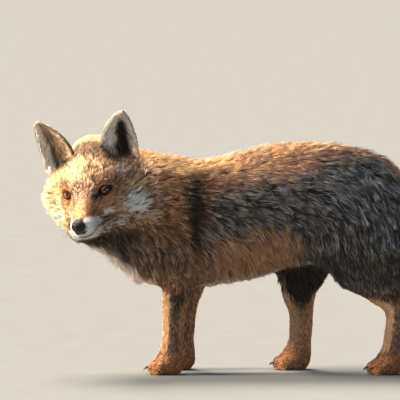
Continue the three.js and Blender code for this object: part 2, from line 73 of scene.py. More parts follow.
HEAD_TURN, HEAD_NOD, HEAD_TILT = (math.radians(angle) for angle in (73, 26, 9))
# An eyeball's size, and where its centre lies in the head's frame: forward and to the side.
EYE_RADIUS = 9.4 * MM
EYE_DEPTH = -5.5 * MM
EYE_SIDE = 31.5 * MM


def head_directions():
    """The head's forward, left and up directions, one a row."""
    flat = math.cos(HEAD_NOD)
    forward = np.array([-math.cos(HEAD_TURN) * flat, -math.sin(HEAD_TURN) * flat, -math.sin(HEAD_NOD)])
    level = np.cross((0, 0, 1), forward)
    level /= np.linalg.norm(level)
    left = level * math.cos(HEAD_TILT) + np.cross(forward, level) * math.sin(HEAD_TILT)
    return np.array([forward, left, np.cross(forward, left)])


HEAD = head_directions()
HEAD_AT = (middle_of("eye_left") + middle_of("eye_right")) / 2 - HEAD[0] * EYE_DEPTH
# The solids were drawn about another origin, in which the head stood here.
DRAWN_HEAD_AT = np.array([-186, -80, 301.5]) * MM
ORIGIN = HEAD_AT - DRAWN_HEAD_AT


def to_head(points):
    """Points in the head's frame: forward of the eye line, left and up."""
    return (points - HEAD_AT) @ HEAD.T


def from_head(points):
    return np.asarray(points) @ HEAD + HEAD_AT


def turned_from_head(directions):
    return np.asarray(directions) @ HEAD


# Middle line of the tail in the solids' first frame, in millimetres.
TAIL_LINE = np.array(
    [(312, 0, 294), (354, 0, 270), (398, 1, 226), (434, 3, 172), (472, 7, 124), (518, 13, 92), (558, 18, 78)]
)
# The coat's top and bottom along the trunk and neck, in the same frame.
BACK_X = (-180, -132, -88, -38, 30, 78, 130, 182, 236, 284, 330)
BACK_TOP = (390, 378, 358, 347, 349, 366, 380, 383, 379, 363, 322)
BACK_BOTTOM = (270, 215, 180, 150, 145, 155, 169, 180, 190, 206, 220)

BONELESS = ("nose", "eye", "ear", "claw")
FLESH = [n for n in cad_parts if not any(word in n for word in BONELESS)]
EARS = ["ear_left", "ear_right"]
CLAWS = [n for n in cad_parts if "claw" in n]
PAWS = [n for n in FLESH if "paw" in n and "sole" not in n]
SIDES = {"right": -1, "left": 1}  # the head's own left is +1

# What each region's coat is like: length, height of the tips over the skin and width of a tuft, in
# millimetres, how many tufts lie over each other, and where the hair points in the row frame, or None
# where lie_of_coat works that out.
Coat = namedtuple("Coat", "length height width layers way")
COATS = {
    "trunk": Coat(30, 11, 1.55, 5.2, None),
    "neck": Coat(30, 13, 1.55, 5.4, None),
    "tail": Coat(38, 22, 2.4, 5.0, None),
    "foreleg": Coat(11, 2.2, 1.05, 2.3, (0.12, 0, -1)),
    "forefoot": Coat(9, 1.6, 1.0, 2.3, (0, 0, -1)),
    "forepaw": Coat(6.5, 1.2, 0.95, 2.3, (-0.8, 0, -0.5)),
    "thigh": Coat(20, 7, 1.7, 4.6, (0.35, 0, -1)),
    "shank": Coat(14, 3.2, 1.2, 2.6, (0.2, 0, -1)),
    "hind_foot": Coat(9, 1.7, 1.0, 2.3, (-0.05, 0, -1)),
    "hind_paw": Coat(6.5, 1.2, 0.95, 2.3, (-0.8, 0, -0.5)),
    "head": Coat(12, 2.8, 0.98, 3.6, None),
    "lower_jaw": Coat(8, 1.8, 1.0, 2.6, None),
    "ear": Coat(7, 1.3, 1.2, 2.0, None),
}
REGIONS = tuple(COATS)


def region_of(node):
    """The number of the region that a node of flesh belongs to."""
    return REGIONS.index(max((name for name in REGIONS if node.startswith(name)), key=len))


# ---------------------------------------------------------------- number helpers


def unit(vectors):
    return vectors / np.maximum(np.linalg.norm(vectors, axis=-1, keepdims=True), 1e-12)


def ramp(low, high, x):
    """0 below low, 1 above high, smooth between; low may be the higher one."""
    t = np.clip((x - low) / (high - low), 0, 1)
    return t * t * (3 - 2 * t)


def spot(points, centre, radii):
    """A soft ellipsoidal spot, 1 at its centre."""
    return np.exp(-(((points - np.array(centre)) / np.array(radii)) ** 2).sum(axis=-1))


def ripple(points, size, seed):
    """Smooth noise from -1 to 1, whose bumps are about size apart."""
    rng = np.random.default_rng(seed)
    waves = unit(rng.normal(size=(7, 3))) * (2 * math.pi / size) * rng.uniform(0.7, 1.4, (7, 1))
    phases = rng.uniform(0, 2 * math.pi, 7)
    return np.sin(points @ waves.T + phases).mean(axis=1) * 1.9


def smooth_line(stations, count):
    """Points along a smooth line through the stations, which it meets at even steps."""
    stations = np.asarray(stations, float)
    ends = [2 * stations[0] - stations[1], *stations, 2 * stations[-1] - stations[-2]]
    keys = np.array(ends)
    at = np.linspace(0, len(stations) - 1, count)
    i = np.minimum(at.astype(int), len(stations) - 2)
    t = (at - i)[:, None]
    p0, p1, p2, p3 = keys[i], keys[i + 1], keys[i + 2], keys[i + 3]
    square = 2 * p0 - 5 * p1 + 4 * p2 - p3
    cube = 3 * (p1 - p2) + p3 - p0
    return 0.5 * (2 * p1 + (p2 - p0) * t + square * t**2 + cube * t**3)


# ---------------------------------------------------------------- mesh helpers


def coordinates(mesh):
    out = np.empty(len(mesh.vertices) * 3, np.float32)
    mesh.vertices.foreach_get("co", out)
    return out.reshape(-1, 3).astype(float)


def move_to(mesh, points):
    mesh.vertices.foreach_set("co", np.asarray(points, np.float32).ravel())
    mesh.update()


def normals(mesh):
    out = np.empty(len(mesh.vertices) * 3, np.float32)
    mesh.vertices.foreach_get("normal", out)
    return out.reshape(-1, 3).astype(float)


def triangles(mesh):
    mesh.calc_loop_triangles()
    out = np.empty(len(mesh.loop_triangles) * 3, np.int32)
    mesh.loop_triangles.foreach_get("vertices", out)
    return out.reshape(-1, 3)


class Neighbours:
    """Averages values over a mesh's edges."""

    def __init__(self, mesh):
        pairs = np.empty(len(mesh.edges) * 2, np.int32)
        mesh.edges.foreach_get("vertices", pairs)
        self.a, self.b = pairs.reshape(-1, 2).T
        self.count = len(mesh.vertices)
        self.degree = np.bincount(np.concatenate([self.a, self.b]), minlength=self.count)

    def mean(self, values):
        def total(column):
            weights = np.concatenate([column[self.b], column[self.a]])
            return np.bincount(np.concatenate([self.a, self.b]), weights=weights, minlength=self.count)

        columns = values.reshape(self.count, -1)
        out = np.stack([total(columns[:, i]) for i in range(columns.shape[1])], axis=1)
        return (out / self.degree[:, None]).reshape(values.shape)

    def smoothed(self, values, rounds, share=0.5):
        for _ in range(rounds):
            values = values + (self.mean(values) - values) * share
        return values


def store(mesh, name, values):
    """Keeps a number or a vector for each vertex."""
    values = np.asarray(values, np.float32)
    kind, field = ("FLOAT", "value") if values.ndim == 1 else ("FLOAT_VECTOR", "vector")
    layer = mesh.attributes.get(name) or mesh.attributes.new(name, kind, "POINT")
    layer.data.foreach_set(field, values.ravel())


def stored(mesh, name):
    layer = mesh.attributes[name]
    wide = 1 if layer.data_type == "FLOAT" else 3
    out = np.empty(len(mesh.vertices) * wide, np.float32)
    layer.data.foreach_get("value" if wide == 1 else "vector", out)
    return out.astype(float) if wide == 1 else out.reshape(-1, 3).astype(float)


def mesh_of(name, points, faces):
    """A mesh from arrays: points, and faces that all have the same number of corners."""
    mesh = bpy.data.meshes.new(name)
    faces = np.asarray(faces, np.int32)
    wide = faces.shape[1]
    mesh.vertices.add(len(points))
    mesh.vertices.foreach_set("co", np.asarray(points, np.float32).ravel())
    mesh.loops.add(faces.size)
    mesh.loops.foreach_set("vertex_index", faces.ravel())
    mesh.polygons.add(len(faces))
    mesh.polygons.foreach_set("loop_start", np.arange(0, faces.size, wide, dtype=np.int32))
    mesh.update(calc_edges=True)
    return mesh


def shown(name, mesh, material, slot, *nodes):
    """Puts a finished mesh in the scene as a piece that rides on the fox and stands for the nodes."""
    mesh.name = name
    mesh.materials.clear()
    mesh.materials.append(material)
    mesh.polygons.foreach_set("use_smooth", np.ones(len(mesh.polygons), bool))
    mesh.polygons.foreach_set("material_index", np.zeros(len(mesh.polygons), np.int32))
    piece = bpy.data.objects.new(name, mesh)
    bpy.context.scene.collection.objects.link(piece)
    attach(piece, "root")
    if nodes:
        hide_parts(*nodes)
    return piece


def evaluated(mesh, *modifiers):
    """A new mesh: the mesh after the modifiers, each a (type, settings) pair."""
    holder = bpy.data.objects.new("working", mesh)
    bpy.context.scene.collection.objects.link(holder)
    for kind, settings in modifiers:
        modifier = holder.modifiers.new(kind, kind)
        for key, value in settings.items():
            setattr(modifier, key, value)
    graph = bpy.context.evaluated_depsgraph_get()
    result = bpy.data.meshes.new_from_object(holder.evaluated_get(graph))
    bpy.data.objects.remove(holder)
    return result


def merged_nodes(names):
    """One mesh of several CAD nodes, with its loose triangles joined up."""
    merged = bmesh.new()
    for name in names:
        merged.from_mesh(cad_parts[name].data)
    bmesh.ops.remove_doubles(merged, verts=merged.verts, dist=1e-6)
    mesh = bpy.data.meshes.new("merged")
    merged.to_mesh(mesh)
    merged.free()
    return mesh


# ---------------------------------------------------------------- shader helpers


class Maths:
    """A node socket that can stand in Python sums; every sum adds its Math nodes."""

    def __init__(self, shader, socket):
        self.shader = shader
        self.socket = socket

    def _sum(self, operation, *values):
        return self.shader.node("ShaderNodeMath", {"operation": operation}, *values)

    def __add__(self, other):
        return self._sum("ADD", self, other)

    def __sub__(self, other):
        return self._sum("SUBTRACT", self, other)

    def __mul__(self, other):
        return self._sum("MULTIPLY", self, other)

    def __truediv__(self, other):
        return self._sum("DIVIDE", self, other)

    def __pow__(self, other):
        return self._sum("POWER", self, other)

    def clipped(self):
        return self.shader.node("ShaderNodeClamp", {}, self, 0.0, 1.0)

    def between(self, low, high):
        """0 at low and 1 at high, smooth between."""
        settings = {"interpolation_type": "SMOOTHSTEP"}
        return self.shader.node("ShaderNodeMapRange", settings, self, low, high, 0.0, 1.0)


class Shader:
    """Builds one material from expressions."""

    def __init__(self, name, **constants):
        self.material = bpy.data.materials.new(name)
        self.material.use_nodes = True
        self.tree = self.material.node_tree
        self.surface = self.tree.nodes["Principled BSDF"]
        for socket, value in constants.items():
            self.surface.inputs[socket.replace("_", " ")].default_value = value

    def node(self, kind, settings, *values, output=0, **named):
        """Adds a node: its settings first, then values or links for its sockets. Returns one output."""
        node = self.tree.nodes.new(kind)
        for key, value in settings.items():
            setattr(node, key, value)
        places = [(s, v) for s, v in zip(node.inputs, values) if v is not None]
        places += [(node.inputs[key], value) for key, value in named.items()]
        for socket, value in places:
            if isinstance(value, Maths):
                self.tree.links.new(value.socket, socket)
            else:
                socket.default_value = value
        return Maths(self, node.outputs[output])

    def stored(self, name):
        return self.node("ShaderNodeAttribute", {"attribute_name": name}, output=1)

    def parts(self, vector):
        first = self.node("ShaderNodeSeparateXYZ", {}, vector)
        outputs = first.socket.node.outputs
        return [Maths(self, outputs[i]) for i in range(3)]

    def place(self):
        """Object coordinates."""
        return self.node("ShaderNodeTexCoord", {}, output=3)

    def noise(self, scale, detail=2.0, stretch=None):
        at = self.place()
        if stretch:
            at = self.node("ShaderNodeMapping", {}, at, Scale=stretch)
        return self.node("ShaderNodeTexNoise", {}, at, Scale=scale, Detail=detail)

    def mix(self, share, a, b):
        node = self.tree.nodes.new("ShaderNodeMix")
        node.data_type = "RGBA"
        for socket, value in ((node.inputs[0], share), (node.inputs[6], a), (node.inputs[7], b)):
            if isinstance(value, Maths):
                self.tree.links.new(value.socket, socket)
            else:
                socket.default_value = value if socket == node.inputs[0] else (*value[:3], 1.0)
        return Maths(self, node.outputs[2])

    def scaled(self, colour, share):
        """A colour made lighter or darker by a factor."""
        return self.node("ShaderNodeVectorMath", {"operation": "SCALE"}, colour, Scale=share)

    def to(self, socket, value):
        self.tree.links.new(value.socket, self.surface.inputs[socket])

    def bump(self, height, distance, strength=1.0):
        relief = self.node("ShaderNodeBump", {}, Strength=strength, Distance=distance, Height=height)
        self.to("Normal", relief)


# ---------------------------------------------------------------- settings


def colour_setting(name, description, default):
    return FloatVectorProperty(
        name=name, description=description, default=default, size=3, min=0.0, max=1.0, subtype="COLOR"
    )


def length_setting(name, description, millimetres):
    default = millimetres * MM
    return FloatProperty(name=name, description=description, default=default, min=0.0, unit="LENGTH")


class FoxColours(bpy.types.PropertyGroup):
    rust: colour_setting("Rust", "Ground colour of the coat, as on the neck", (0.24, 0.098, 0.041))
    # Gold is the hair's own pale gold and also painted sunlight: the lit nape and back, and the sunlit fronts
    # of legs and groin.
    gold: colour_setting("Gold", "Hair along the nape and back", (0.95, 0.61, 0.31))
    straw: colour_setting("Straw", "Pale tips of rusty and brown hair", (0.74, 0.50, 0.35))
    flank: colour_setting("Flank", "Dark base of the hair on flank and rump", (0.027, 0.027, 0.03))
    # The frost's blue tint is painted skylight in shade; its paleness is the hair's own.
    sky_tinted_frost: colour_setting("Frost", "Pale tips of the hair on flank and rump", (0.45, 0.53, 0.62))
    belly: colour_setting("Belly band", "Hair along the lower edge of the flank", (0.42, 0.19, 0.075))
    # Black also paints the shade in the groin and in the ears' hollows.
    black: colour_setting("Black", "Hair of legs, groin, shoulder patch and ear backs", (0.017, 0.012, 0.010))
    brown: colour_setting("Brown", "Dark hair of the throat, shoulders and legs", (0.10, 0.055, 0.034))
    white: colour_setting("White", "Hair of the muzzle, cheeks, chest and tail tip", (0.86, 0.83, 0.76))
    crown: colour_setting("Crown", "Dark roots of the forehead's hair", (0.38, 0.18, 0.07))
    cream: colour_setting("Cream", "Pale tips of the forehead's hair", (0.92, 0.76, 0.41))
    orange: colour_setting("Orange", "Short hair round the eyes and on the legs", (0.54, 0.21, 0.072))
    tan: colour_setting("Tan", "Hair of the cheeks and jaw", (0.52, 0.32, 0.15))
    # Down the chest this paler hair is painted sunlight.
    ear_hair: colour_setting("Ear hair", "Pale hair inside the ears and down the chest", (0.98, 0.86, 0.75))
    iris: colour_setting("Iris", "Brown of the eye", (0.22, 0.088, 0.026))
    nose: colour_setting("Nose", "Moist skin of the nose", (0.010, 0.009, 0.010))


class FoxSizes(bpy.types.PropertyGroup):
    voxel: length_setting("Skin grain", "Size of the skin's faces on the body", 3.5)
    ear_skin: length_setting("Ear skin", "Thickness of the ear under its hair", 3.0)
    lid: length_setting("Lid", "Thickness of an eyelid's edge", 1.3)
    claw: length_setting("Claw", "Thickness of a claw at its root", 5.0)
    whisker: length_setting("Whisker", "Thickness of a whisker at its root", 0.55)
    coat: FloatProperty(
        name="Coat length", description="Length of all hair", default=1.0, min=0.3, max=1.5, subtype="FACTOR"
    )
    tufts: IntProperty(name="Tufts", description="Most tufts in the whole coat", default=146000, min=1000)
    round_tufts: BoolProperty(name="Bent tufts", description="Give the tail's tufts two bends", default=True)
    seed: IntProperty(name="Seed", description="Start of everything random", default=7)


# ---------------------------------------------------------------- eyes' places


class Eye:
    """One eye: its centre, the frame of its lids, and arc lengths over the ball from their middle."""

    # For each eye, in the head's frame with outwards positive: where it looks, the way to its outer corner,
    # and in millimetres along the ball the half heights of its opening above and below and its half width.
    SHAPES = {
        "right": ((0.93, 0.30, 0.20), (-0.45, 0.85, 0.08), (4.2, 3.7, 9.0)),
        "left": ((0.80, 0.55, 0.14), (-0.60, 0.78, 0.14), (1.3, 1.6, 10.6)),
    }
    OVER_BALL = EYE_RADIUS + 0.4 * MM

    def __init__(self, side):
        sign = SIDES[side]
        out, outer, (self.upper, self.lower, self.half_width) = self.SHAPES[side]
        self.centre = from_head((EYE_DEPTH, sign * EYE_SIDE, 0))
        self.out = unit(turned_from_head(np.array(out) * (1, sign, 1)))
        outer = turned_from_head(np.array(outer) * (1, sign, 1))
        self.outer = unit(outer - self.out * (outer @ self.out))
        up = np.cross(self.out, self.outer)
        self.up = up * np.sign(up @ HEAD[2])

    def outline(self, turns):
        """Arc coordinates of the opening's edge, in millimetres; turn 0 is the outer corner."""
        angles = np.asarray(turns) * 2 * math.pi
        across = self.half_width * np.cos(angles)
        sine = np.sin(angles)
        high = np.where(sine > 0, self.upper, self.lower) * np.sign(sine) * np.abs(sine) ** 1.25
        inner = ramp(0, -1, across / self.half_width)
        return np.stack([across - 1.2 * inner, high - 1.4 * inner**2], axis=-1)

    def at(self, arcs, radius):
        """Points over the ball at arc coordinates in millimetres and a radius in metres."""
        long = np.linalg.norm(arcs, axis=-1, keepdims=True) + 1e-9
        angle = long * MM / self.OVER_BALL
        side = (arcs[..., :1] * self.outer + arcs[..., 1:] * self.up) / long
        return self.centre + (self.out * np.cos(angle) + side * np.sin(angle)) * radius

    def beyond_opening(self, points):
        """How far each point lies outside the opening, in millimetres of arc, and its radius.

        What lies well off the ball counts as further out."""
        away = points - self.centre
        radius = np.linalg.norm(away, axis=1)
        u, v = away @ self.outer, away @ self.up
        arc = np.arccos(np.clip(away @ self.out / radius, -1, 1)) * self.OVER_BALL / MM
        edge = self.outline(np.linspace(-0.5, 0.5, 181))
        angles = np.arctan2(edge[:, 1], edge[:, 0])
        order = np.argsort(angles)
        limit = np.interp(np.arctan2(v, u), angles[order], np.linalg.norm(edge, axis=1)[order])
        return arc - limit + 2 * np.maximum(radius / MM - 15, 0), radius


EYES = {side: Eye(side) for side in SIDES}

# ---------------------------------------------------------------- the ears' skin

# Edges of an ear in the head's frame, in millimetres, from root to tip.
EAR_INNER = ((-63, 25, 20), (-66, 23, 44), (-68, 33, 70), (-69, 49, 90), (-69, 65, 102), (-68, 76, 106.5))
EAR_OUTER = ((-67, 74, -12), (-71, 84, 14), (-74, 88, 45), (-73, 87, 80), (-70, 83, 99), (-68, 76, 106.5))
EAR_CUP = 18
EAR_LEAN = 7  # how far both roots sit to the right of where the tips would have them
EAR_INSET = 1.6


def ear_mesh(sign, thickness):
    """A thin cup between the ear's two edges, closed all round, with its root inside the head."""
    rows, columns = 40, 30
    inner, outer = smooth_line(EAR_INNER, rows + 1), smooth_line(EAR_OUTER, rows + 1)
    facing = unit(np.cross(outer[0] - inner[0], inner[-1] - inner[0]))
    # The last row stops short of the tip, where the two edges meet.
    along = np.linspace(0, 0.985, rows + 1)
    even = np.linspace(0, 1, rows + 1)
    inner = np.stack([np.interp(along, even, inner[:, i]) for i in range(3)], axis=1)
    outer = np.stack([np.interp(along, even, outer[:, i]) for i in range(3)], axis=1)
    wide = np.linalg.norm(outer - inner, axis=1)
    inset = np.clip(2 * EAR_INSET / wide, 0, 0.4)[:, None]
    across = np.linspace(-1, 1, columns + 1)[None, :] * (1 - inset)
    middle = inner[:, None] + (outer - inner)[:, None] * ((across + 1) / 2)[..., None]
    deep = EAR_CUP * (1 - along[:, None]) ** 0.75 * (1 - across**2)
    half = thickness / MM / 2 * (1 - 0.35 * along[:, None]) * (1 - 0.5 * np.abs(across) ** 6)
    sheets = [middle + facing * (side * half - deep)[..., None] for side in (1, -1)]
    points = np.concatenate([sheet.reshape(-1, 3) for sheet in sheets]) * (1, sign, 1)
    tall = np.tile(np.repeat(along, columns + 1), 2)
    points[:, 1] -= EAR_LEAN * (1 - tall)
    points[:, 2] -= EAR_INSET * tall * 0.8
    step, size = columns + 1, (rows + 1) * (columns + 1)
    first = (np.arange(rows)[:, None] * step + np.arange(columns)[None, :]).ravel()
    front = np.stack([first, first + 1, first + step + 1, first + step], axis=1)
    back = front[:, ::-1] + size
    border = [*range(columns + 1), *(columns + step * np.arange(1, rows + 1))]
    border += [*(rows * step + np.arange(columns - 1, -1, -1)), *(step * np.arange(rows - 1, 0, -1))]
    border = np.array(border)
    after = np.roll(border, -1)
    rim = np.stack([after, border, border + size, after + size], axis=1)
    mesh = mesh_of("ear", from_head(points * MM), np.concatenate([front, back, rim]))
    turn_outward(mesh)
    return mesh


def turn_outward(mesh):
    shell = bmesh.new()
    shell.from_mesh(mesh)
    bmesh.ops.recalc_face_normals(shell, faces=shell.faces)
    shell.to_mesh(mesh)
    shell.free()


# ---------------------------------------------------------------- the skin


def refined_parts(mesh):
    """Splits the faces of the muzzle, eyes, cheeks and toes into smaller ones."""
    shell = bmesh.new()
    shell.from_mesh(mesh)
    shell.verts.ensure_lookup_table()
    points = coordinates(mesh)
    a, b, c = (to_head(points) / MM).T
    fine = (a > -26) & (np.abs(b) < 56) & (c > -66) & (c < 34)
    for name in PAWS:
        low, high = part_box(name)
        past = points[:, 0] - (low[0] * 0.4 + high[0] * 0.6)
        aside = np.abs(points[:, 1] - (low[1] + high[1]) / 2)
        fine |= (past < 0) & (past > -90 * MM) & (points[:, 2] < high[2]) & (aside < 32 * MM)
    edges = [e for e in shell.edges if fine[e.verts[0].index] and fine[e.verts[1].index]]
    bmesh.ops.subdivide_edges(shell, edges=edges, cuts=2, use_grid_fill=True)
    shell.to_mesh(mesh)
    shell.free()
    return mesh


def region_weights(mesh, names, spread_rounds):
    """How much each vertex belongs to each region, with soft borders."""
    corners, faces, owners = [], [], []
    for name in names:
        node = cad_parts[name].data
        start = len(corners)
        corners.extend(v.co.copy() for v in node.vertices)
        faces.extend([start + i for i in p.vertices] for p in node.polygons)
        owners.extend([region_of(name)] * len(node.polygons))
    tree = BVHTree.FromPolygons(corners, faces)
    owner = np.array([owners[tree.find_nearest(v.co)[2]] for v in mesh.vertices])
    weights = np.eye(len(REGIONS))[owner]
    return Neighbours(mesh).smoothed(weights, spread_rounds)


def body_place(points):
    """Position in the solids' first frame, in millimetres, and height from belly (0) to back (1)."""
    at = (points - ORIGIN) / MM
    top = np.interp(at[:, 0], BACK_X, BACK_TOP)
    bottom = np.interp(at[:, 0], BACK_X, BACK_BOTTOM)
    return at, (at[:, 2] - bottom) / (top - bottom)


def coat_numbers(points, normal, weights):
    """Length, height, width (metres) and layers of the coat at each point."""
    table = np.array([coat[:4] for coat in COATS.values()])
    length, height, width, layers = (weights @ table).T
    w = dict(zip(REGIONS, weights.T))
    head = w["head"]
    a, b, c = (to_head(points) / MM).T
    full = ramp(15, -15, b)
    b = np.abs(b)
    ruff = head * ramp(-2, -30, a) * ramp(44, 64, b) * ramp(20, 0, c)
    under = head * ramp(-44, -66, c) * ramp(30, -10, a)
    crown = head * ramp(-8, -40, a) * ramp(12, 30, c) * ramp(66, 50, b)
    inside = w["ear"] * ramp(-0.1, 0.25, (normal @ HEAD.T)[:, 0])
    for share, long, high, wide in (
        (ruff, 20 + 6 * full, 9 + full, 1.4),
        (under, 17 + 10 * full, 6 + 7 * full, 1.3),
        (crown, 18, 3.4, 1.0),
        (inside, 19, 3.2, 1.0),
    ):
        length = length + (long - length) * share
        height = height + (high - height) * share
        width = width + (wide - width) * share
    muzzle = ramp(4, 34, a) * np.maximum(head, w["lower_jaw"])
    length = length * (1 - 0.5 * muzzle)
    height = height * (1 - 0.6 * muzzle)
    width = width * (1 - 0.3 * muzzle)
    for eye in EYES.values():
        beyond, _ = eye.beyond_opening(points)
        close = ramp(12, 3, beyond)
        length = length * (1 - 0.45 * close)
        height = height * (1 - 0.6 * close)
        layers = layers * ramp(1.6, 3.2, beyond)
    # Upper legs lose the trunk's depth on the way down.
    at, _ = body_place(points)
    down = w["trunk"] * ramp(205, 140, at[:, 2]) * ramp(20, -10, at[:, 0] - 20)
    length = length * (1 - 0.55 * down)
    height = height * (1 - 0.6 * down)
    return length * MM, height * MM, width * MM, layers


def tail_place(at):
    """The tail's smooth middle line, and the number of its point that is nearest to each place."""
    line = smooth_line(TAIL_LINE, 60)
    return line, np.abs(at[:, None] - line[None]).sum(axis=2).argmin(axis=1)


def lie_of_coat(points, normal, weights):
    """The way the hair points at each vertex, before it is smoothed and laid on the skin."""
    at, high = body_place(points)
    count = len(points)
    ways = {name: unit(np.array(coat.way, float)) for name, coat in COATS.items() if coat.way}
    slope = 0.12 + 0.7 * np.clip(1 - high, 0, 1.2) + 2.4 * ramp(0.44, 0.12, high)
    slope = slope + 1.5 * ramp(190, 320, at[:, 0]) + 1.3 * ramp(-50, -100, at[:, 0])
    ways["trunk"] = unit(np.stack([np.ones(count), np.zeros(count), -slope], axis=1))
    drop = -0.15 - 1.1 * np.clip(1 - high, 0, 1)
    ways["neck"] = unit(np.stack([np.ones(count), np.full(count, 0.1), drop], axis=1))
    line, nearest = tail_place(at)
    ways["tail"] = unit(np.gradient(line, axis=0))[nearest]
    ways["head"] = ways["lower_jaw"] = face_ways(points)
    ways["ear"] = ear_ways(points, normal)
    return sum(ways[name] * share[:, None] for name, share in zip(REGIONS, weights.T))


def face_ways(points):
    """Back from the nose, out from the eyes, and down on the throat under the right cheek."""
    from_nose = to_head(points) - np.array((88, 0, -40)) * MM
    from_nose[:, 1] *= 1.25
    ways = unit(turned_from_head(from_nose))
    for eye in EYES.values():
        beyond, _ = eye.beyond_opening(points)
        close = 0.75 * ramp(12, 3, beyond)[:, None]
        ways = ways * (1 - close) + unit(points - eye.centre) * close
    down = turned_from_head(unit(np.array([-0.3, -0.5, -0.8])))
    hanging = 0.7 * spot(to_head(points) / MM, (2, -46, -64), (30, 24, 20))[:, None]
    return ways * (1 - hanging) + down * hanging


def ear_across(points):
    """-1 at an ear's inner edge, 1 at its outer edge; and its height from root to tip."""
    _, b, c = (to_head(points) / MM).T
    inner, outer = np.array(EAR_INNER), np.array(EAR_OUTER)
    tall = np.clip(c / inner[-1, 2], -0.2, 1)
    low = np.interp(c, inner[:, 2], inner[:, 1])
    high = np.interp(c, outer[:, 2], outer[:, 1])
    from_middle = np.abs(b + EAR_LEAN * (1 - tall))
    across = (from_middle - low) / np.maximum(high - low, 4) * 2 - 1
    return np.clip(across, -1, 1), tall


def ear_ways(points, normal):
    """Up the back of the ear, and inside it from both edges towards the tip."""
    side = np.sign(to_head(points)[:, 1])
    across, _ = ear_across(points)
    inside = (normal @ HEAD.T)[:, 0] > 0
    lean = np.where(inside, -1.0 * across, 0.05)
    ways = np.stack([np.where(inside, 0.25, -0.1), side * (lean + 0.1), np.ones(len(side))], axis=1)
    return unit(turned_from_head(ways))


# The coat's marks, three to a set, because each set is stored as one vector.
MARK_SETS = {
    "marks_a": ("gold", "flank", "belly"),
    "marks_b": ("brown", "black", "white"),
    "marks_c": ("cream", "orange", "ear_hair"),
    "marks_d": ("tan", "tips", "warm"),
}


def marks(points, normal, weights):
    """How much of each colour the coat holds at each point, and how many of its tips are pale."""
    at, high = body_place(points)
    w = dict(zip(REGIONS, weights.T))
    rough = ripple(points, 0.045, 3) * 0.5 + ripple(points, 0.016, 5) * 0.5
    out = {name: np.zeros(len(points)) for names in MARK_SETS.values() for name in names}
    # The ripples make the torso's borders ragged.
    torso_marks(at + rough[:, None] * (6, 0, 4), high + 0.04 * rough, normal, w, out)
    leg_marks(at, normal, w, out)
    tail_marks(at, rough, w, out)
    at_head = to_head(points) / MM
    face_marks(at_head, w, rough, out)
    ear_marks(at_head, normal, w, rough, out)
    return {name: np.clip(value, 0, 1) for name, value in out.items()}


def torso_marks(at, high, normal, w, out):
    """Neck, shoulders, back, flank, belly and rump."""
    x, y, z = at.T
    body = w["trunk"] + w["neck"]
    haunch = w["trunk"] + w["thigh"] + 0.6 * w["shank"]
    # A gold rim along the back, pale hair painted brighter still as a sunlit rim, over a dark flank and rump
    # that end on the upper legs.
    rim = np.interp(x, (-60, 60, 200), (0.84, 0.86, 0.885))
    out["gold"] += body * ramp(rim, rim + 0.10, high) * ramp(290, 230, x)
    top = np.interp(x, (20, 50, 158, 241, 300), (0.72, 0.76, 0.72, 0.86, 0.95))
    leg_end = ramp(138, 176, z) * w["trunk"] + ramp(84, 130, z) * (1 - w["trunk"])
    flank = haunch * ramp(-8, 34, x) * ramp(top + 0.12, top - 0.12, high) * leg_end
    out["flank"] += flank
    # A rusty band along the belly's edge.
    band = np.interp(x, (0, 50, 172), (0.40, 0.40, 0.33))
    band_edge = ramp(band + 0.15, band - 0.2, high)
    out["belly"] += w["trunk"] * band_edge * ramp(8, 30, x) * ramp(200, 118, x)
    # White chest, painted paler still as sunlight along its edge, brown shoulder and throat.
    to_chest = normal @ unit(np.array([-0.78, -0.1, -0.6]))
    chest = ramp(0.70, 0.86, to_chest) * ramp(-62, -84, x) * ramp(312, 280, z)
    shoulder = spot(at * (1, 0, 1), (-46, 0, 190), (56, 1, 48)) * (body + w["foreleg"])
    throat = ramp(246, 228, z) * ramp(-66, -100, x) * body * (1 - chest)
    out["brown"] += 0.85 * shoulder + throat
    # Black behind the shoulder and on the elbow, and black in the groin as painted shade under the belly,
    # whose front edge is gold as painted sunlight.
    patch_width = np.interp(z, (204, 250, 327), (11, 15, 20))
    patch = np.exp(-np.abs((x + 4) / (patch_width + 1)) ** 2.6)
    patch = patch * ramp(188, 226, z) * ramp(354, 286, z) * w["trunk"]
    elbow = spot(at * (1, 0, 1), (-30, 0, 134), (36, 1, 32)) * (w["trunk"] + w["foreleg"])
    inner_leg = w["trunk"] + w["thigh"] + (w["shank"] + w["hind_foot"]) * ramp(52, 150, z)
    groin = ramp(122, 142, x) * ramp(232, 206, x) * ramp(208, 188, z) * inner_leg
    groin = groin * ramp(-20, 10, y) * ramp(0.4, -0.1, normal[:, 1])
    painted_sunlit_edge = ramp(-0.3, -0.65, normal[:, 0]) * ramp(215, 180, z)
    out["gold"] += groin * painted_sunlit_edge
    # The rest of the groin stays black as painted shade, save a rusty back low on the leg.
    groin = groin * (1 - painted_sunlit_edge) * (1 - ramp(0.45, 0.8, normal[:, 0]) * ramp(150, 125, z))
    out["black"] += patch + groin + 0.48 * throat * ramp(-80, -112, x) + 0.45 * elbow
    under = ramp(-0.78, -0.97, normal[:, 2]) * ramp(220, 190, z)
    out["white"] += (chest + 0.45 * under) * body
    out["cream"] += 0.25 * chest * body
    # The chest takes the paler ear hair over its white as painted sunlight.
    out["ear_hair"] += 0.8 * chest * body
    # The saddle, on the hump that the sun grazes, is painted brighter as sunlight, and more of its hairs have
    # pale tips.
    rump = ramp(150, 290, x)
    sunlit_saddle = ramp(30, 70, x) * ramp(230, 170, x) * ramp(top - 0.2, top + 0.1, high)
    out["orange"] += 0.5 * sunlit_saddle * body
    out["gold"] += 0.55 * sunlit_saddle * body * ramp(0.6, 0.9, high)
    tips = body * (0.40 + 0.66 * sunlit_saddle) * (1 - 0.3 * flank) + flank * (0.18 - 0.06 * rump)
    out["tips"] += tips - body * 0.2 * out["gold"]
    out["warm"] += body * (1 - rump) * (1 - 0.5 * flank)


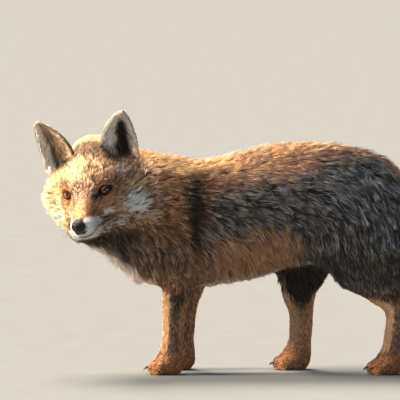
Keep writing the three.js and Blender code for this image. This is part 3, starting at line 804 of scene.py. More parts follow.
def leg_marks(at, normal, w, out):
    """Painted sunlit fronts, dark mottled sides and rusty backs of the legs, and the paws."""
    y, z, forward = at[:, 1], at[:, 2], normal[:, 0]
    hind = w["hind_foot"] + w["shank"] * ramp(150, 120, z)
    legs = w["foreleg"] + w["forefoot"] + hind
    right_hind = hind * ramp(-10, 10, y) * ramp(138, 98, z)
    # The fronts that face the sun get gold as painted sunlight; the far hind leg's lit edge is painted wider.
    edge = np.interp(z, (118, 150), (-0.12, -0.42)) + 0.15 * right_hind
    front, rear = ramp(edge, edge - 0.3, forward), ramp(0.2, 0.6, forward)
    paws = w["forepaw"] + w["hind_paw"]
    out["gold"] += legs * front
    out["orange"] += legs * (0.25 * front + 0.5 * rear) + 0.45 * right_hind * (1 - 0.6 * front) + 0.62 * paws
    out["brown"] += legs * (1 - front) * (0.58 - 0.28 * rear) - 0.9 * right_hind
    hock = 0.4 * w["shank"] * ramp(150, 120, z)
    out["black"] += legs * (1 - front) * (1 - rear) * 0.22 + hock * (1 - front)
    out["black"] += 0.3 * paws * ramp(-0.3, 0.4, forward) - 0.25 * right_hind
    out["tan"] += 0.35 * paws + 0.6 * right_hind * (1 - rear)
    out["tips"] += 0.72 * legs + 0.3 * right_hind + 0.4 * paws
    out["warm"] += legs + paws


def tail_marks(at, rough, w, out):
    """A rusty tail, greyer towards its root and dark before its white tip."""
    line, nearest = tail_place(at)
    along = nearest / (len(line) - 1)
    out["flank"] += w["tail"] * ramp(0.75, 0.35, along) * 0.55
    out["brown"] += w["tail"] * ramp(0.3, 0.5, along) * ramp(0.85, 0.7, along) * 0.6
    out["white"] += w["tail"] * ramp(0.74, 0.84, along + 0.03 * rough)
    out["tips"] += 0.5 * w["tail"]
    out["warm"] += 0.6 * w["tail"]


def eye_rings(points):
    """How much each point belongs to the short hair round the eyes, and to the dark edges of their lids,
    widened round the left eye as painted shade.
    """
    around, lids = np.zeros(len(points)), np.zeros(len(points))
    for name, eye in EYES.items():
        beyond, _ = eye.beyond_opening(points)
        around = np.maximum(around, ramp(16, 7, beyond))
        # The narrow left eye's dark edge is broadest at both its corners, widened as painted shade from the
        # bridge of the nose.
        corner = ramp(4 * MM, 10 * MM, np.abs((points - eye.centre) @ eye.outer))
        reach = 4.6 + 4.2 * corner if name == "left" else 4.2
        lids = np.maximum(lids, ramp(reach + 1.6, reach - 1.2, beyond))
    return around, lids


def face_marks(at, w, rough, out):
    """Markings of the head; the forehead, cheek and muzzle are painted paler on the fox's right, the side the
    sun falls on, as painted light.
    """
    right = at[:, 1] < 0
    # pale and paler mark the fox's right, the sunlit side, where the face is painted lighter as painted
    # light.
    pale = ramp(14, -12, at[:, 1])
    paler = ramp(24, -30, at[:, 1])
    side = np.stack([at[:, 0], np.abs(at[:, 1]), at[:, 2]], axis=1)
    a, b, c = side.T
    face = w["head"] + w["lower_jaw"]
    around, lids = eye_rings(from_head(at * MM))
    # A pale forehead and a gold nape painted brighter as sunlit; orange round the eyes and over the bridge of
    # the nose.
    # The cream forehead reaches further round on the sunlit right, as painted light.
    temple = 72 + 20 * right
    forehead = ramp(13, 27, c + 5 * rough) * ramp(-54, -40, a) * ramp(temple, temple - 18, b)
    out["gold"] += w["head"] * ramp(-74, -88, a) * ramp(20, 40, c)
    bridge = ramp(13, 8, b) * ramp(-6, 10, a) * ramp(-32, -22, c)
    below = spot(side, (8, 36, -18), (20, 20, 13)) * (1 - 0.25 * pale)
    blaze = ramp(11, 3, b) * ramp(8, 30, a) * ramp(-30, -20, c)
    muzzle = pale * ramp(0, 16, a) * ramp(40, 26, b) * ramp(4, -8, c) * (1 - around)
    right_cheek = pale * ramp(40, 58, b) * ramp(30, 14, c) * ramp(-64, -48, a) * (1 - around)
    orange = np.clip(around + 1.1 * below + 0.6 * bridge, 0, 1)
    out["orange"] += face * orange * (1 - 0.8 * forehead) * (1 - 0.6 * blaze)
    upper_ruff = spot(at, (-32, 80, -10), (18, 16, 13))
    cream = forehead * (0.22 + 0.58 * paler) + 0.25 * blaze + 0.25 * muzzle
    out["cream"] += face * (cream + 0.7 * right_cheek + 0.6 * upper_ruff)
    # Tan cheeks and jaw, then the white of lips, cheek, ruff, jaw and brow; the jaw's and chin's white is
    # dimmed as painted shade.
    tan = spot(side, (-10, 52, -42), (20, 13, 26)) * 0.85 + ramp(-56, -66, c) * ramp(60, 74, b)
    out["tan"] += face * np.clip(tan + 0.7 * blaze, 0, 1)
    pad_edge = -18 - 0.53 * (50 - a)
    off_nose = np.maximum(ramp(6, 10, b), np.maximum(ramp(-40, -45, c), ramp(54, 60, a)))
    pad = ramp(pad_edge + 3, pad_edge - 3, c) * off_nose * ramp(12, 22, a)
    patch = 1.3 * spot(side, (7, 33, -34), (13, 9, 7.5))
    ragged = side + rough[:, None] * (6, 7, 7)
    right_ruff = 0.8 * spot(side, (-16, 70, -42), (15, 16, 17))
    left_ruff = 1.45 * spot(ragged, (-18, 77, -37), (17, 15, 17))
    left_ruff = left_ruff + 0.2 * spot(side, (-22, 76, -34), (30, 26, 28))
    ruff = np.where(right, right_ruff, left_ruff)
    # The jaw's white is held under half, and the chin's halved, as painted shade under the head.
    jaw = ramp(-50, -56, c) * ramp(-80, -70, c) * ramp(60, 44, b) * ramp(-30, -12, a) * (0.46 - 0.06 * pale)
    brow = 0.5 * spot(at, (-36, 58, 18), (20, 12, 10))
    shaded_chin = ramp(-46, -52, c) * ramp(72, 62, a)
    out["white"] += face * np.clip(pad * (1 - 0.5 * shaded_chin) + patch + ruff + jaw + brow, 0, 1)
    # Brown throat, brow shadows and crown.
    throat = ramp(-80, -88, c) * ramp(28, 16, a) * ramp(78, 66, b) * (1 - pale)
    crown = ramp(-40, -54, a) * ramp(10, 30, c) * (1 - out["gold"])
    brown = throat
    for strength, centre, radii in (
        (0.6, (0, -19, 20), (9, 6, 8)),
        (0.4, (-4, 4, 22), (14, 12, 10)),
        (0.3, (-21, 18, 34), (16, 14, 14)),
    ):
        brown = brown + strength * spot(at, centre, radii)
    out["brown"] += face * (brown + 0.95 * crown)
    # Black tear lines, inner brow, a streak down the muzzle's side, lips and nose.
    tear = spot(at, (15, 20, -2), (10, 5, 5.5)) + 0.8 * spot(at, (14, -18, 3), (5, 3, 3))
    inner_brow = 0.85 * spot(at, (-5, 20, 22), (9, 4.5, 8))
    streak = 0.9 * np.exp(-(((c + 34 + 0.46 * (24 - a)) / 2.1) ** 2)) * ramp(-2, 4, a) * ramp(30, 24, a)
    streak = streak * ramp(16, 20, b) * (1 - 0.5 * pale)
    lips = np.exp(-(((c - lip_level(a)) / 1.7) ** 2)) * ramp(-2, 4, a) * ramp(74, 66, a)
    nose = ramp(61, 66, a) * ramp(-44, -38, c)
    out["black"] += face * np.clip(lids + tear + inner_brow + streak + lips + nose + 0.6 * throat, 0, 1)
    tips = 0.62 - 0.5 * around - 0.3 * throat - 0.75 * crown - 0.4 * below - 0.15 * forehead
    out["tips"] += face * tips * ramp(30, 16, a)
    out["tips"] += 0.4 * face * bridge - 0.4 * face * out["cream"]
    out["orange"] += 0.3 * face * crown
    out["warm"] += 0.8 * face


def ear_marks(at, normal, w, rough, out):
    """Pale hair round a painted shadow in the hollow inside the ears, their black backs and the right one's
    dark rim.
    """
    right = at[:, 1] < 0
    across, tall = ear_across(from_head(at * MM))
    inside = ramp(-0.5, -0.1, (normal @ HEAD.T)[:, 0])
    # The dark hollow is painted shade in the ear's cup, narrower and weaker in the right ear.
    middle = np.where(right, 0.36, 0.09)
    wide = np.where(right, 0.17, 0.38 + 0.14 * ramp(0.5, 0.2, tall))
    strength = np.where(right, 0.6, 1.0) * ramp(0.93, 0.72, tall)
    hollow_shade = np.exp(-(((across + 0.12 * rough - middle) / wide) ** 2)) * strength
    pale = np.where(right, 0.36 + 0.64 * ramp(0.2, 0.5, across), ramp(1.3, 0.5, across))
    out["ear_hair"] += w["ear"] * inside * (1 - 0.9 * hollow_shade) * pale
    out["tan"] += w["ear"] * inside
    rim = 0.8 * right * ramp(-0.80, -0.93, across) * ramp(0.15, 0.35, tall) * ramp(0.97, 0.88, tall)
    out["black"] += w["ear"] * ((1 - inside) * ramp(0.2, 0.4, tall) + inside * np.maximum(hollow_shade, rim))


def eye_sockets(points):
    """Brings the skin round each eye close over the ball, and under it where the lids open."""
    for eye in EYES.values():
        beyond, radius = eye.beyond_opening(points)
        reach = ramp(10, 5, beyond) * (np.linalg.norm(points - eye.centre, axis=1) < 24 * MM)
        open_part = ramp(1.4, 0.4, beyond)
        least = EYE_RADIUS + (0.8 - 3.5 * open_part) * MM
        most = EYE_RADIUS + (1.0 - 3.7 * open_part + 0.55 * np.clip(beyond - 2, 0, 9)) * MM
        wanted = radius + (np.clip(radius, least, most) - radius) * reach
        wanted = np.where(beyond > 1.4, np.maximum(wanted, EYE_RADIUS + 0.8 * MM), wanted)
        away = (points - eye.centre) / radius[:, None]
        points = points + away * (wanted - radius)[:, None]
    return points


def fuller_cheek(points, normal):
    """Fills out the right cheek and the throat below it, which the turned head pushes up."""
    at = to_head(points) / MM
    cheek = 6 * spot(at, (-26, -82, -22), (30, 26, 30))
    throat = 19 * spot(at, (8, -44, -63), (32, 26, 20))
    return points + normal * ((cheek + throat) * MM)[:, None]


def slimmer_gaskin(points, normal):
    """Thins the back of the right thigh where it runs into the shank."""
    at, _ = body_place(points)
    return points - normal * (12 * MM * spot(at, (216, 40, 142), (24, 46, 26)))[:, None]


def toe_grooves(points, normal):
    """Presses in the three lines between the four toes of every paw."""
    for name in PAWS:
        low, high = (np.array(corner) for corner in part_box(name))
        wide, long = high[1] - low[1], high[0] - low[0]
        x, y, z = points.T
        near = ramp(low[0] + 0.55 * long, low[0] + 0.35 * long, x)
        near = near * ramp(-4 * MM, 2 * MM, x - low[0] + 6 * MM) * ramp(high[2], high[2] - 8 * MM, z)
        near = near * ramp(4 * MM, 0, low[1] - y) * ramp(4 * MM, 0, y - high[1])
        for share in (0.27, 0.5, 0.73):
            off = (points[:, 1] - low[1] - share * wide) / (1.5 * MM)
            points = points - normal * (near * np.exp(-(off**2)) * 2.4 * MM)[:, None]
    return points


def lip_level(a):
    """Height of the line between the lips, at a millimetres forward in the head's frame."""
    return -47.5 - 4 * ramp(20, 2, a)


def mouth_line(points, normal):
    """Presses in the line between the lips."""
    a, _, c = (to_head(points) / MM).T
    groove = np.exp(-(((c - lip_level(a)) / 1.3) ** 2)) * ramp(-1, 5, a) * ramp(68, 62, a)
    return points - normal * (groove * 1.3 * MM)[:, None]


# The skin lies inside the drawn solids by this share of the coat's height, reached in a few steps.
SKIN_DEPTH = 0.9
SKIN_STEPS = 4
SOLE_LEVEL = 0.3 * MM


def made_skin(sizes):
    """The body's skin: the flesh nodes merged, smoothed, brought in under the coat and finely shaped."""
    mesh = evaluated(
        merged_nodes(FLESH),
        ("DISPLACE", {"strength": 0.6 * MM, "mid_level": 0.0}),
        ("REMESH", {"mode": "VOXEL", "voxel_size": sizes.voxel}),
    )
    mesh = refined_parts(mesh)
    weights = region_weights(mesh, FLESH, 12)
    near = Neighbours(mesh)
    slim = [i for i, name in enumerate(REGIONS) if "foot" in name or "paw" in name or name == "foreleg"]
    thin = weights[:, slim].sum(axis=1)
    share = (0.5 - 0.32 * thin)[:, None]
    points = coordinates(mesh)
    for _ in range(12):
        points = points + (near.mean(points) - points) * share
    move_to(mesh, points)
    _, height, _, _ = coat_numbers(points, normals(mesh), weights)
    height = near.smoothed(height, 6)
    for _ in range(SKIN_STEPS):
        points = points - normals(mesh) * (height * SKIN_DEPTH / SKIN_STEPS)[:, None]
        points = points + (near.mean(points) - points) * 0.15
        move_to(mesh, points)
    points = fuller_cheek(points, normals(mesh))
    points = slimmer_gaskin(points, normals(mesh))
    points = toe_grooves(points, normals(mesh))
    sole_drop = ramp(7 * MM, 1.5 * MM, points[:, 2]) * 1.6 * MM
    points[:, 2] = np.maximum(points[:, 2] - sole_drop, SOLE_LEVEL)
    points = eye_sockets(points)
    move_to(mesh, points)
    move_to(mesh, mouth_line(points, normals(mesh)))
    return with_ears(mesh, sizes)


def with_ears(mesh, sizes):
    """Joins both ears' skin to the body's into one closed surface."""
    for sign in SIDES.values():
        ear = bpy.data.objects.new("ear", ear_mesh(sign, sizes.ear_skin))
        bpy.context.scene.collection.objects.link(ear)
        mesh = evaluated(mesh, ("BOOLEAN", {"operation": "UNION", "solver": "MANIFOLD", "object": ear}))
        bpy.data.objects.remove(ear)
    return mesh


def keep_coat_map(mesh):
    """Stores what the coat is like at every vertex of the skin."""
    points, normal = coordinates(mesh), normals(mesh)
    weights = region_weights(mesh, FLESH + EARS, 8)
    near = Neighbours(mesh)
    way = near.smoothed(lie_of_coat(points, normal, weights), 12)
    way = unit(way - normal * (way * normal).sum(axis=1, keepdims=True))
    length, height, width, layers = coat_numbers(points, normal, weights)
    for name, value in (("coat_length", length), ("coat_height", height), ("coat_width", width)):
        store(mesh, name, near.smoothed(value, 4))
    store(mesh, "coat_layers", layers)
    store(mesh, "coat_way", way)
    store(mesh, "region", weights.argmax(axis=1))
    shares = marks(points, normal, weights)
    for name, parts in MARK_SETS.items():
        store(mesh, name, np.stack([shares[p] for p in parts], axis=1))


# ---------------------------------------------------------------- the coat

# Pieces of the coat: its regions, its material slot and whether its tufts are long ones with two bends.
COAT_PIECES = {
    "coat_trunk": (("trunk",), "flank_fur", False),
    "coat_neck": (("neck",), "rust_fur", False),
    "coat_tail": (("tail",), "tail_fur", True),
    "coat_forelegs": (("foreleg", "forefoot", "forepaw"), "dark_fur", False),
    "coat_thighs": (("thigh",), "flank_fur", False),
    "coat_hind_legs": (("shank", "hind_foot", "hind_paw"), "dark_fur", False),
    "coat_head": (("head", "lower_jaw"), "face_fur", False),
    "coat_ears": (("ear",), "ear_fur", False),
}
MOST_TRIANGLES = 190000
PATCH = 0.003  # width of a tuft's patch on the bake map
COVER = 0.55  # share of its length times its width that a tuft covers
BURIED = 0.7 * MM
ABOVE_FLOOR = 0.6 * MM
LOCK = 9  # tufts that lean together into one lock
GUARD_SHARE = 0.16  # thinner hairs that stand out of the rest


def tuft_roots(mesh, count, rng):
    """A triangle and a place in it for each tuft, closer together where tufts are small."""
    tris = triangles(mesh)
    corners = coordinates(mesh)[tris]
    area = np.linalg.norm(np.cross(corners[:, 1] - corners[:, 0], corners[:, 2] - corners[:, 0]), axis=1) / 2
    cover = stored(mesh, "coat_length") * stored(mesh, "coat_width") * COVER
    wanted = np.cumsum(area * (stored(mesh, "coat_layers") / cover)[tris].mean(axis=1))
    count = min(count, int(wanted[-1]))
    face = np.searchsorted(wanted, (np.arange(count) + rng.uniform(0, 1, count)) * wanted[-1] / count)
    face = np.minimum(face, len(tris) - 1)
    p, q = np.sqrt(rng.uniform(0, 1, count)), rng.uniform(0, 1, count)
    shares = np.stack([1 - p, p * (1 - q), p * q], axis=1)
    return tris, face, shares


def nearest_skin(tree, points):
    """For each point the closest point of the skin, its normal and its triangle."""
    found = [tree.find_nearest(p) for p in points]
    spots = np.array([f[0] for f in found], float)
    ups = np.array([f[1] for f in found], float)
    return spots, ups, np.array([f[2] for f in found])


def turned(vectors, axes, angles):
    """Vectors turned about unit axes that they are square to."""
    cos, sin = np.cos(angles)[:, None], np.sin(angles)[:, None]
    return vectors * cos + np.cross(axes, vectors) * sin


def leaders(roots, ups, rng):
    """For each tuft the tuft that its lock leans to, itself where none near faces the same way."""
    count = len(roots)
    chosen = rng.choice(count, count // LOCK, replace=False)
    tree = KDTree(len(chosen))
    for i in chosen:
        tree.insert(roots[i], int(i))
    tree.balance()
    nearest = np.array([tree.find(root)[1] for root in roots])
    alike = (ups[nearest] * ups).sum(axis=1) > 0.6
    return np.where(alike, nearest, np.arange(count))


def tuft_lines(mesh, tris, face, shares, rng, length_factor):
    """The bent middle line of each tuft.

    Returns four points a tuft, the skin's normals there, the tufts' widths, the tuft that each one's lock
    leans to and the triangle that gives its colour."""
    corner = tris[face]

    def blended(values):
        return (values[corner] * (shares if values.ndim == 1 else shares[..., None])).sum(axis=1)

    points = coordinates(mesh)
    up = unit(blended(normals(mesh)))
    root = blended(points)
    count = len(root)
    lock = leaders(root, up, rng)
    way = blended(stored(mesh, "coat_way"))
    way = unit(way - up * (way * up).sum(axis=1, keepdims=True))
    guard = rng.uniform(0, 1, count) < GUARD_SHARE
    length = blended(stored(mesh, "coat_length")) * length_factor * rng.uniform(0.72, 1.2, count)
    stand = np.where(guard, rng.uniform(1.0, 1.45, count), rng.uniform(0.45, 1.0, count))
    deep = blended(stored(mesh, "coat_height"))
    height = deep * stand
    width = blended(stored(mesh, "coat_width")) * rng.uniform(0.75, 1.2, count) * np.where(guard, 0.6, 1.0)
    lean = 0.30 * ripple(root, 0.030, 11) + 0.22 * ripple(root, 0.011, 12) + rng.normal(0, 0.11, count)
    way = turned(way, up, lean)
    tree = BVHTree.FromPolygons(points.tolist(), tris.tolist())
    ways = stored(mesh, "coat_way")[tris].mean(axis=1)
    line, ups, under = [root - up * BURIED], [up], []
    at = root
    free = np.zeros((count, 1))
    tail_end = ORIGIN + (3.4 * TAIL_LINE[-1] - 2.4 * TAIL_LINE[-2]) * MM
    for reach, rise in ((0.36, 0.50), (0.36, 0.82), (0.28, 1.0)):
        ahead = at + way * (length * reach)[:, None]
        foot, up, index = nearest_skin(tree, ahead)
        # Past the end of the tail nothing holds a tuft down. Only the tail's coat is this deep.
        off = np.linalg.norm(ahead - foot, axis=1) / height
        free = np.maximum(free, (0.8 * ramp(14 * MM, 18 * MM, deep) * ramp(1.1, 2.0, off))[:, None])
        at = (foot + up * (height * rise)[:, None]) * (1 - free) + ahead * free
        fresh = turned(ways[index], up, lean)
        way = way * (0.5 - 0.1 * free) + fresh * (0.5 - 0.5 * free) + unit(tail_end - at) * 0.8 * free
        way = unit(way - up * (way * up).sum(axis=1, keepdims=True) * (1 - free))
        line.append(at)
        ups.append(up)
        under.append(index)
    line = np.stack(line, axis=1)
    gathered = np.where(guard, 0.5, 1.0)[:, None] * (1 - free)
    for station, share in ((2, 0.38), (3, 0.66)):
        line[:, station] += (line[lock, station] - line[:, station]) * share * gathered
    line[..., 2] = np.maximum(line[..., 2], ABOVE_FLOOR)
    return line, np.stack(ups, axis=1), width, lock, under[1]


# For tufts with one bend or two: their width at the root and bends, and how far along they have their
# root, bends and tip. Their section has three corners.
TAPERS = {1: (0.8, 1.0), 2: (0.7, 1.0, 0.62)}
STATIONS = {1: (0.0, 0.48, 1.0), 2: (0.0, 0.4, 0.75, 1.0)}
SECTION = np.array([(-0.5, -0.12), (0.5, -0.12), (0.0, 0.26)])


def tuft_rings(line, ups, width, bends):
    """Points of every tuft: a ring of three at its root and at each bend, and one at its tip."""
    if bends == 1:
        line = np.stack([line[:, 0], (line[:, 1] * 0.6 + line[:, 2] * 0.4), line[:, 3]], axis=1)
    rings = []
    for i, taper in enumerate(TAPERS[bends]):
        along = unit(line[:, i + 1] - line[:, max(i - 1, 0)])
        side = unit(np.cross(ups[:, i], along))
        rise = np.cross(along, side)
        rings.extend(line[:, i] + (side * s + rise * r) * (width * taper)[:, None] for s, r in SECTION)
    rings.append(line[:, -1])
    return np.stack(rings, axis=1)


def tuft_faces(bends):
    """Triangles of one closed tuft."""
    faces = [(0, 2, 1)]
    for ring in range(bends):
        low = 3 * ring
        for i in range(3):
            j = (i + 1) % 3
            faces += [(low + i, low + j, low + j + 3), (low + i, low + j + 3, low + i + 3)]
    last = 3 * bends
    faces += [(last + i, last + (i + 1) % 3, last + 3) for i in range(3)]
    return np.array(faces)


# What the coat covers of the bake map's width and height, and where it starts.
MAP_SPAN = 0.96
MAP_EDGE = 0.02


def unwrapped(points, normal, piece):
    """Each root's place on an unwrap of the skin."""
    if piece == "coat_head":
        return head_map(points)
    if piece == "coat_ears":
        return ears_map(points, normal)
    at, _ = body_place(points)
    if piece == "coat_tail":
        return tail_map(at)
    if piece in ("coat_trunk", "coat_neck"):
        return trunk_map(at)
    return legs_map(at, piece == "coat_forelegs")


def head_map(points):
    """Spread out from the nose."""
    ahead = unit(to_head(points) - np.array((-30, 0, -14)) * MM)
    angle = np.arccos(np.clip(ahead[:, 0], -1, 1)) / math.pi
    turn = np.arctan2(ahead[:, 2], ahead[:, 1])
    return np.stack([0.5 + 0.48 * angle * np.cos(turn), 0.5 + 0.48 * angle * np.sin(turn)], axis=1)


def ears_map(points, normal):
    """Four sheets side by side: the back and the inside of each ear."""
    _, b, c = to_head(points).T
    sheet = (b > 0) * 2 + ((normal @ HEAD.T)[:, 0] > 0)
    across = ramp_flat(20 * MM, 92 * MM, np.abs(b))
    return np.stack([(sheet + 0.04 + 0.92 * across) / 4, ramp_flat(-15 * MM, 110 * MM, c)], axis=1)


def tail_map(at):
    """Round and along the tail."""
    line = smooth_line(TAIL_LINE, 240)
    near = np.abs(at[:, None] - line[None, ::4]).sum(axis=2).argmin(axis=1) * 4
    ahead = unit(np.gradient(line, axis=0))[near]
    away = at - line[near]
    level = unit(np.cross(ahead, (0, 1.0, 0.01)))
    turn = np.arctan2((away * level).sum(axis=1), away[:, 1])
    return np.stack([0.5 + turn / (2 * math.pi) * MAP_SPAN, MAP_EDGE + MAP_SPAN * near / 240], axis=1)


def trunk_map(at):
    """Round and along the trunk and neck."""
    x, y, z = at.T
    middle = (np.interp(x, BACK_X, BACK_TOP) + np.interp(x, BACK_X, BACK_BOTTOM)) / 2
    turn = np.arctan2(y, z - middle)
    return np.stack([0.5 + turn / (2 * math.pi) * MAP_SPAN, ramp_flat(-190, 350, x)], axis=1)


def legs_map(at, fore):
    """Round and along the two fore or hind legs, side by side."""
    x, y, z = at.T
    right = y > 0
    if fore:
        middle = np.where(right, -20, -42)
    else:
        levels = (0, 100, 230)
        middle = np.where(right, np.interp(z, levels, (160, 165, 215)), np.interp(z, levels, (312, 325, 290)))
    turn = np.arctan2(y - np.where(right, 38, -38), x - middle)
    across = 0.5 + turn / (2 * math.pi) * 0.94
    return np.stack([(across + right) / 2, ramp_flat(0, 240, z)], axis=1)


def ramp_flat(low, high, x):
    """A straight ramp over the bake map, clear of its edges."""
    return MAP_EDGE + MAP_SPAN * np.clip((x - low) / (high - low), 0, 1)


def coat_chunks(piece, keys, bends):
    """Splits a piece's tufts, in order along the body, into runs of less than the most triangles."""
    per_tuft = len(tuft_faces(bends))
    runs = int(math.ceil(len(keys) * per_tuft / MOST_TRIANGLES))
    order = np.argsort(keys)
    names = [piece] if runs == 1 else [f"{piece}_{i + 1}" for i in range(runs)]
    return list(zip(names, np.array_split(order, runs)))


def add_coat(sizes, material):
    """Makes all the tufts over the skin and shows them piece by piece."""
    mesh = bpy.data.objects["skin"].data
    rng = np.random.default_rng(sizes.seed)
    tris, face, shares = tuft_roots(mesh, sizes.tufts, rng)
    line, ups, width, lock, under = tuft_lines(mesh, tris, face, shares, rng, sizes.coat)
    region = stored(mesh, "region")[tris[face, 0]].astype(int)
    # A tuft shows the colour of the skin that its outer part lies over.
    marks_of = {name: stored(mesh, name)[tris[under]].mean(axis=1) for name in MARK_SETS}
    chance = rng.uniform(0, 1, (len(face), 2))
    chance = np.where(rng.uniform(0, 1, (len(face), 1)) < 0.6, chance[lock], chance)
    for piece, (names, slot, long) in COAT_PIECES.items():
        bends = 2 if long and sizes.round_tufts else 1
        chosen = np.flatnonzero(np.isin(region, [REGIONS.index(n) for n in names]))
        for name, part in coat_chunks(piece, line[chosen, 0, 0], bends):
            pick = chosen[part]
            tufts = tufts_mesh(name, line[pick], ups[pick], width[pick], bends)
            paint_tufts(tufts, chance[pick], {key: value[pick] for key, value in marks_of.items()}, bends)
            map_tufts(tufts, unwrapped(line[pick, 0], ups[pick, 0], piece), bends)
            shown(name, tufts, material, slot)


def tufts_mesh(name, line, ups, width, bends):
    """All tufts of a coat piece as one mesh."""
    points = tuft_rings(line, ups, width, bends)
    count, each = points.shape[:2]
    faces = np.arange(count)[:, None, None] * each + tuft_faces(bends)[None]
    return mesh_of(name, points.reshape(-1, 3), faces.reshape(-1, 3))


def along_tuft(bends):
    """How far each point of a tuft is from its root."""
    return np.repeat(STATIONS[bends], 3)[:-2]


def paint_tufts(mesh, chance, marks_of, bends):
    """Keeps the marks of each tuft, and for each of its points its place along it and two random numbers."""
    along = along_tuft(bends)
    strand = np.empty((len(chance), len(along), 3))
    strand[..., 0] = along
    strand[..., 1:] = chance[:, None]
    store(mesh, "strand", strand.reshape(-1, 3))
    for key, value in marks_of.items():
        store(mesh, key, np.repeat(value, len(along), axis=0))


def map_tufts(mesh, place, bends):
    """The bake map: each tuft is a small patch at its root's place on the unwrapped skin."""
    across = np.append(np.tile(SECTION[:, 0], bends + 1), 0.0)
    patch = np.stack([across, along_tuft(bends) - 0.5], axis=1) * PATCH
    spots = (place[:, None] + patch[None]).reshape(-1, 2)
    corners = np.empty(len(mesh.loops), np.int32)
    mesh.loops.foreach_get("vertex_index", corners)
    layer = mesh.uv_layers.new(name="OFBake")
    layer.data.foreach_set("uv", spots[corners].astype(np.float32).ravel())


# ---------------------------------------------------------------- eyes and lids


def ring_mesh(name, rings):
    """A closed tube through rings of equally many points, joined round from the last ring to the first."""
    count, each = rings.shape[:2]
    i, j = np.meshgrid(np.arange(count), np.arange(each), indexing="ij")
    after, beside = (i + 1) % count, (j + 1) % each
    faces = np.stack([i * each + j, i * each + beside, after * each + beside, after * each + j], axis=-1)
    mesh = mesh_of(name, rings.reshape(-1, 3), faces.reshape(-1, 4))
    turn_outward(mesh)
    return mesh


def lid_mesh(eye, thick):
    """Both lids of an eye as one ring, whose section runs from the opening over the ball and back under."""
    turns = np.linspace(0, 1, 96, endpoint=False)
    edge = eye.outline(turns)
    outward = unit(edge)
    rise = thick / MM
    section = [(-0.2, -0.8), (-0.1, 0.1), (0.15, rise * 0.75), (0.7, rise), (1.6, rise * 1.15)]
    section += [(2.8, rise * 0.9), (4.2, 0.9), (5.0, 0.2), (3.5, -1.6), (1.0, -1.4)]
    rings = [eye.at(edge + outward * wide, EYE_RADIUS + high * MM) for wide, high in section]
    return ring_mesh("lid", np.stack(rings, axis=1))


def ball_mesh(eye):
    """An eyeball with its cornea, and each point's place before the gaze as an attribute."""
    to_viewer = unit(CAMERA_AT - eye.centre)
    gaze = unit(eye.out * 0.6 + to_viewer * 0.4)
    upright = unit(HEAD[2] - gaze * (HEAD[2] @ gaze))
    level = np.cross(gaze, upright)
    rings, around = 56, 72
    angle = np.linspace(0, math.pi, rings + 1)[1:-1, None]
    turn = np.linspace(0, 2 * math.pi, around, endpoint=False)[None, :]
    radius = EYE_RADIUS * (1 + 0.05 * np.exp(-((angle / 0.55) ** 2)))
    flat = np.sin(angle)
    local = np.stack([flat * np.cos(turn), flat * np.sin(turn), np.cos(angle) + 0 * turn], axis=-1)
    local = (local * radius[..., None]).reshape(-1, 3)
    local = np.concatenate([local, [(0, 0, EYE_RADIUS * 1.05)], [(0, 0, -EYE_RADIUS)]])
    i, j = np.meshgrid(np.arange(rings - 2), np.arange(around), indexing="ij")
    k = (j + 1) % around
    here, below = i * around, (i + 1) * around
    quads = np.stack([here + j, below + j, below + k, here + k], axis=-1).reshape(-1, 4)
    first, last = len(local) - 2, len(local) - 1
    ring = np.arange(around)
    beside = (ring + 1) % around
    low = (rings - 2) * around
    caps = [np.stack([np.full(around, first), ring, beside], axis=1)]
    caps.append(np.stack([np.full(around, last), low + beside, low + ring], axis=1))
    tris = np.concatenate([quads[:, [0, 1, 2]], quads[:, [0, 2, 3]], *caps])
    mesh = mesh_of("eye", local @ np.array([level, upright, gaze]) + eye.centre, tris)
    store(mesh, "gaze", local / MM)
    turn_outward(mesh)
    return mesh


def joined_meshes(meshes):
    """One mesh of several."""
    together = bmesh.new()
    for mesh in meshes:
        together.from_mesh(mesh)
    out = bpy.data.meshes.new("joined")
    together.to_mesh(out)
    together.free()
    return out


# ---------------------------------------------------------------- claws and whiskers

THINNEST_TIP = 0.06 * MM  # least radius of a claw or whisker


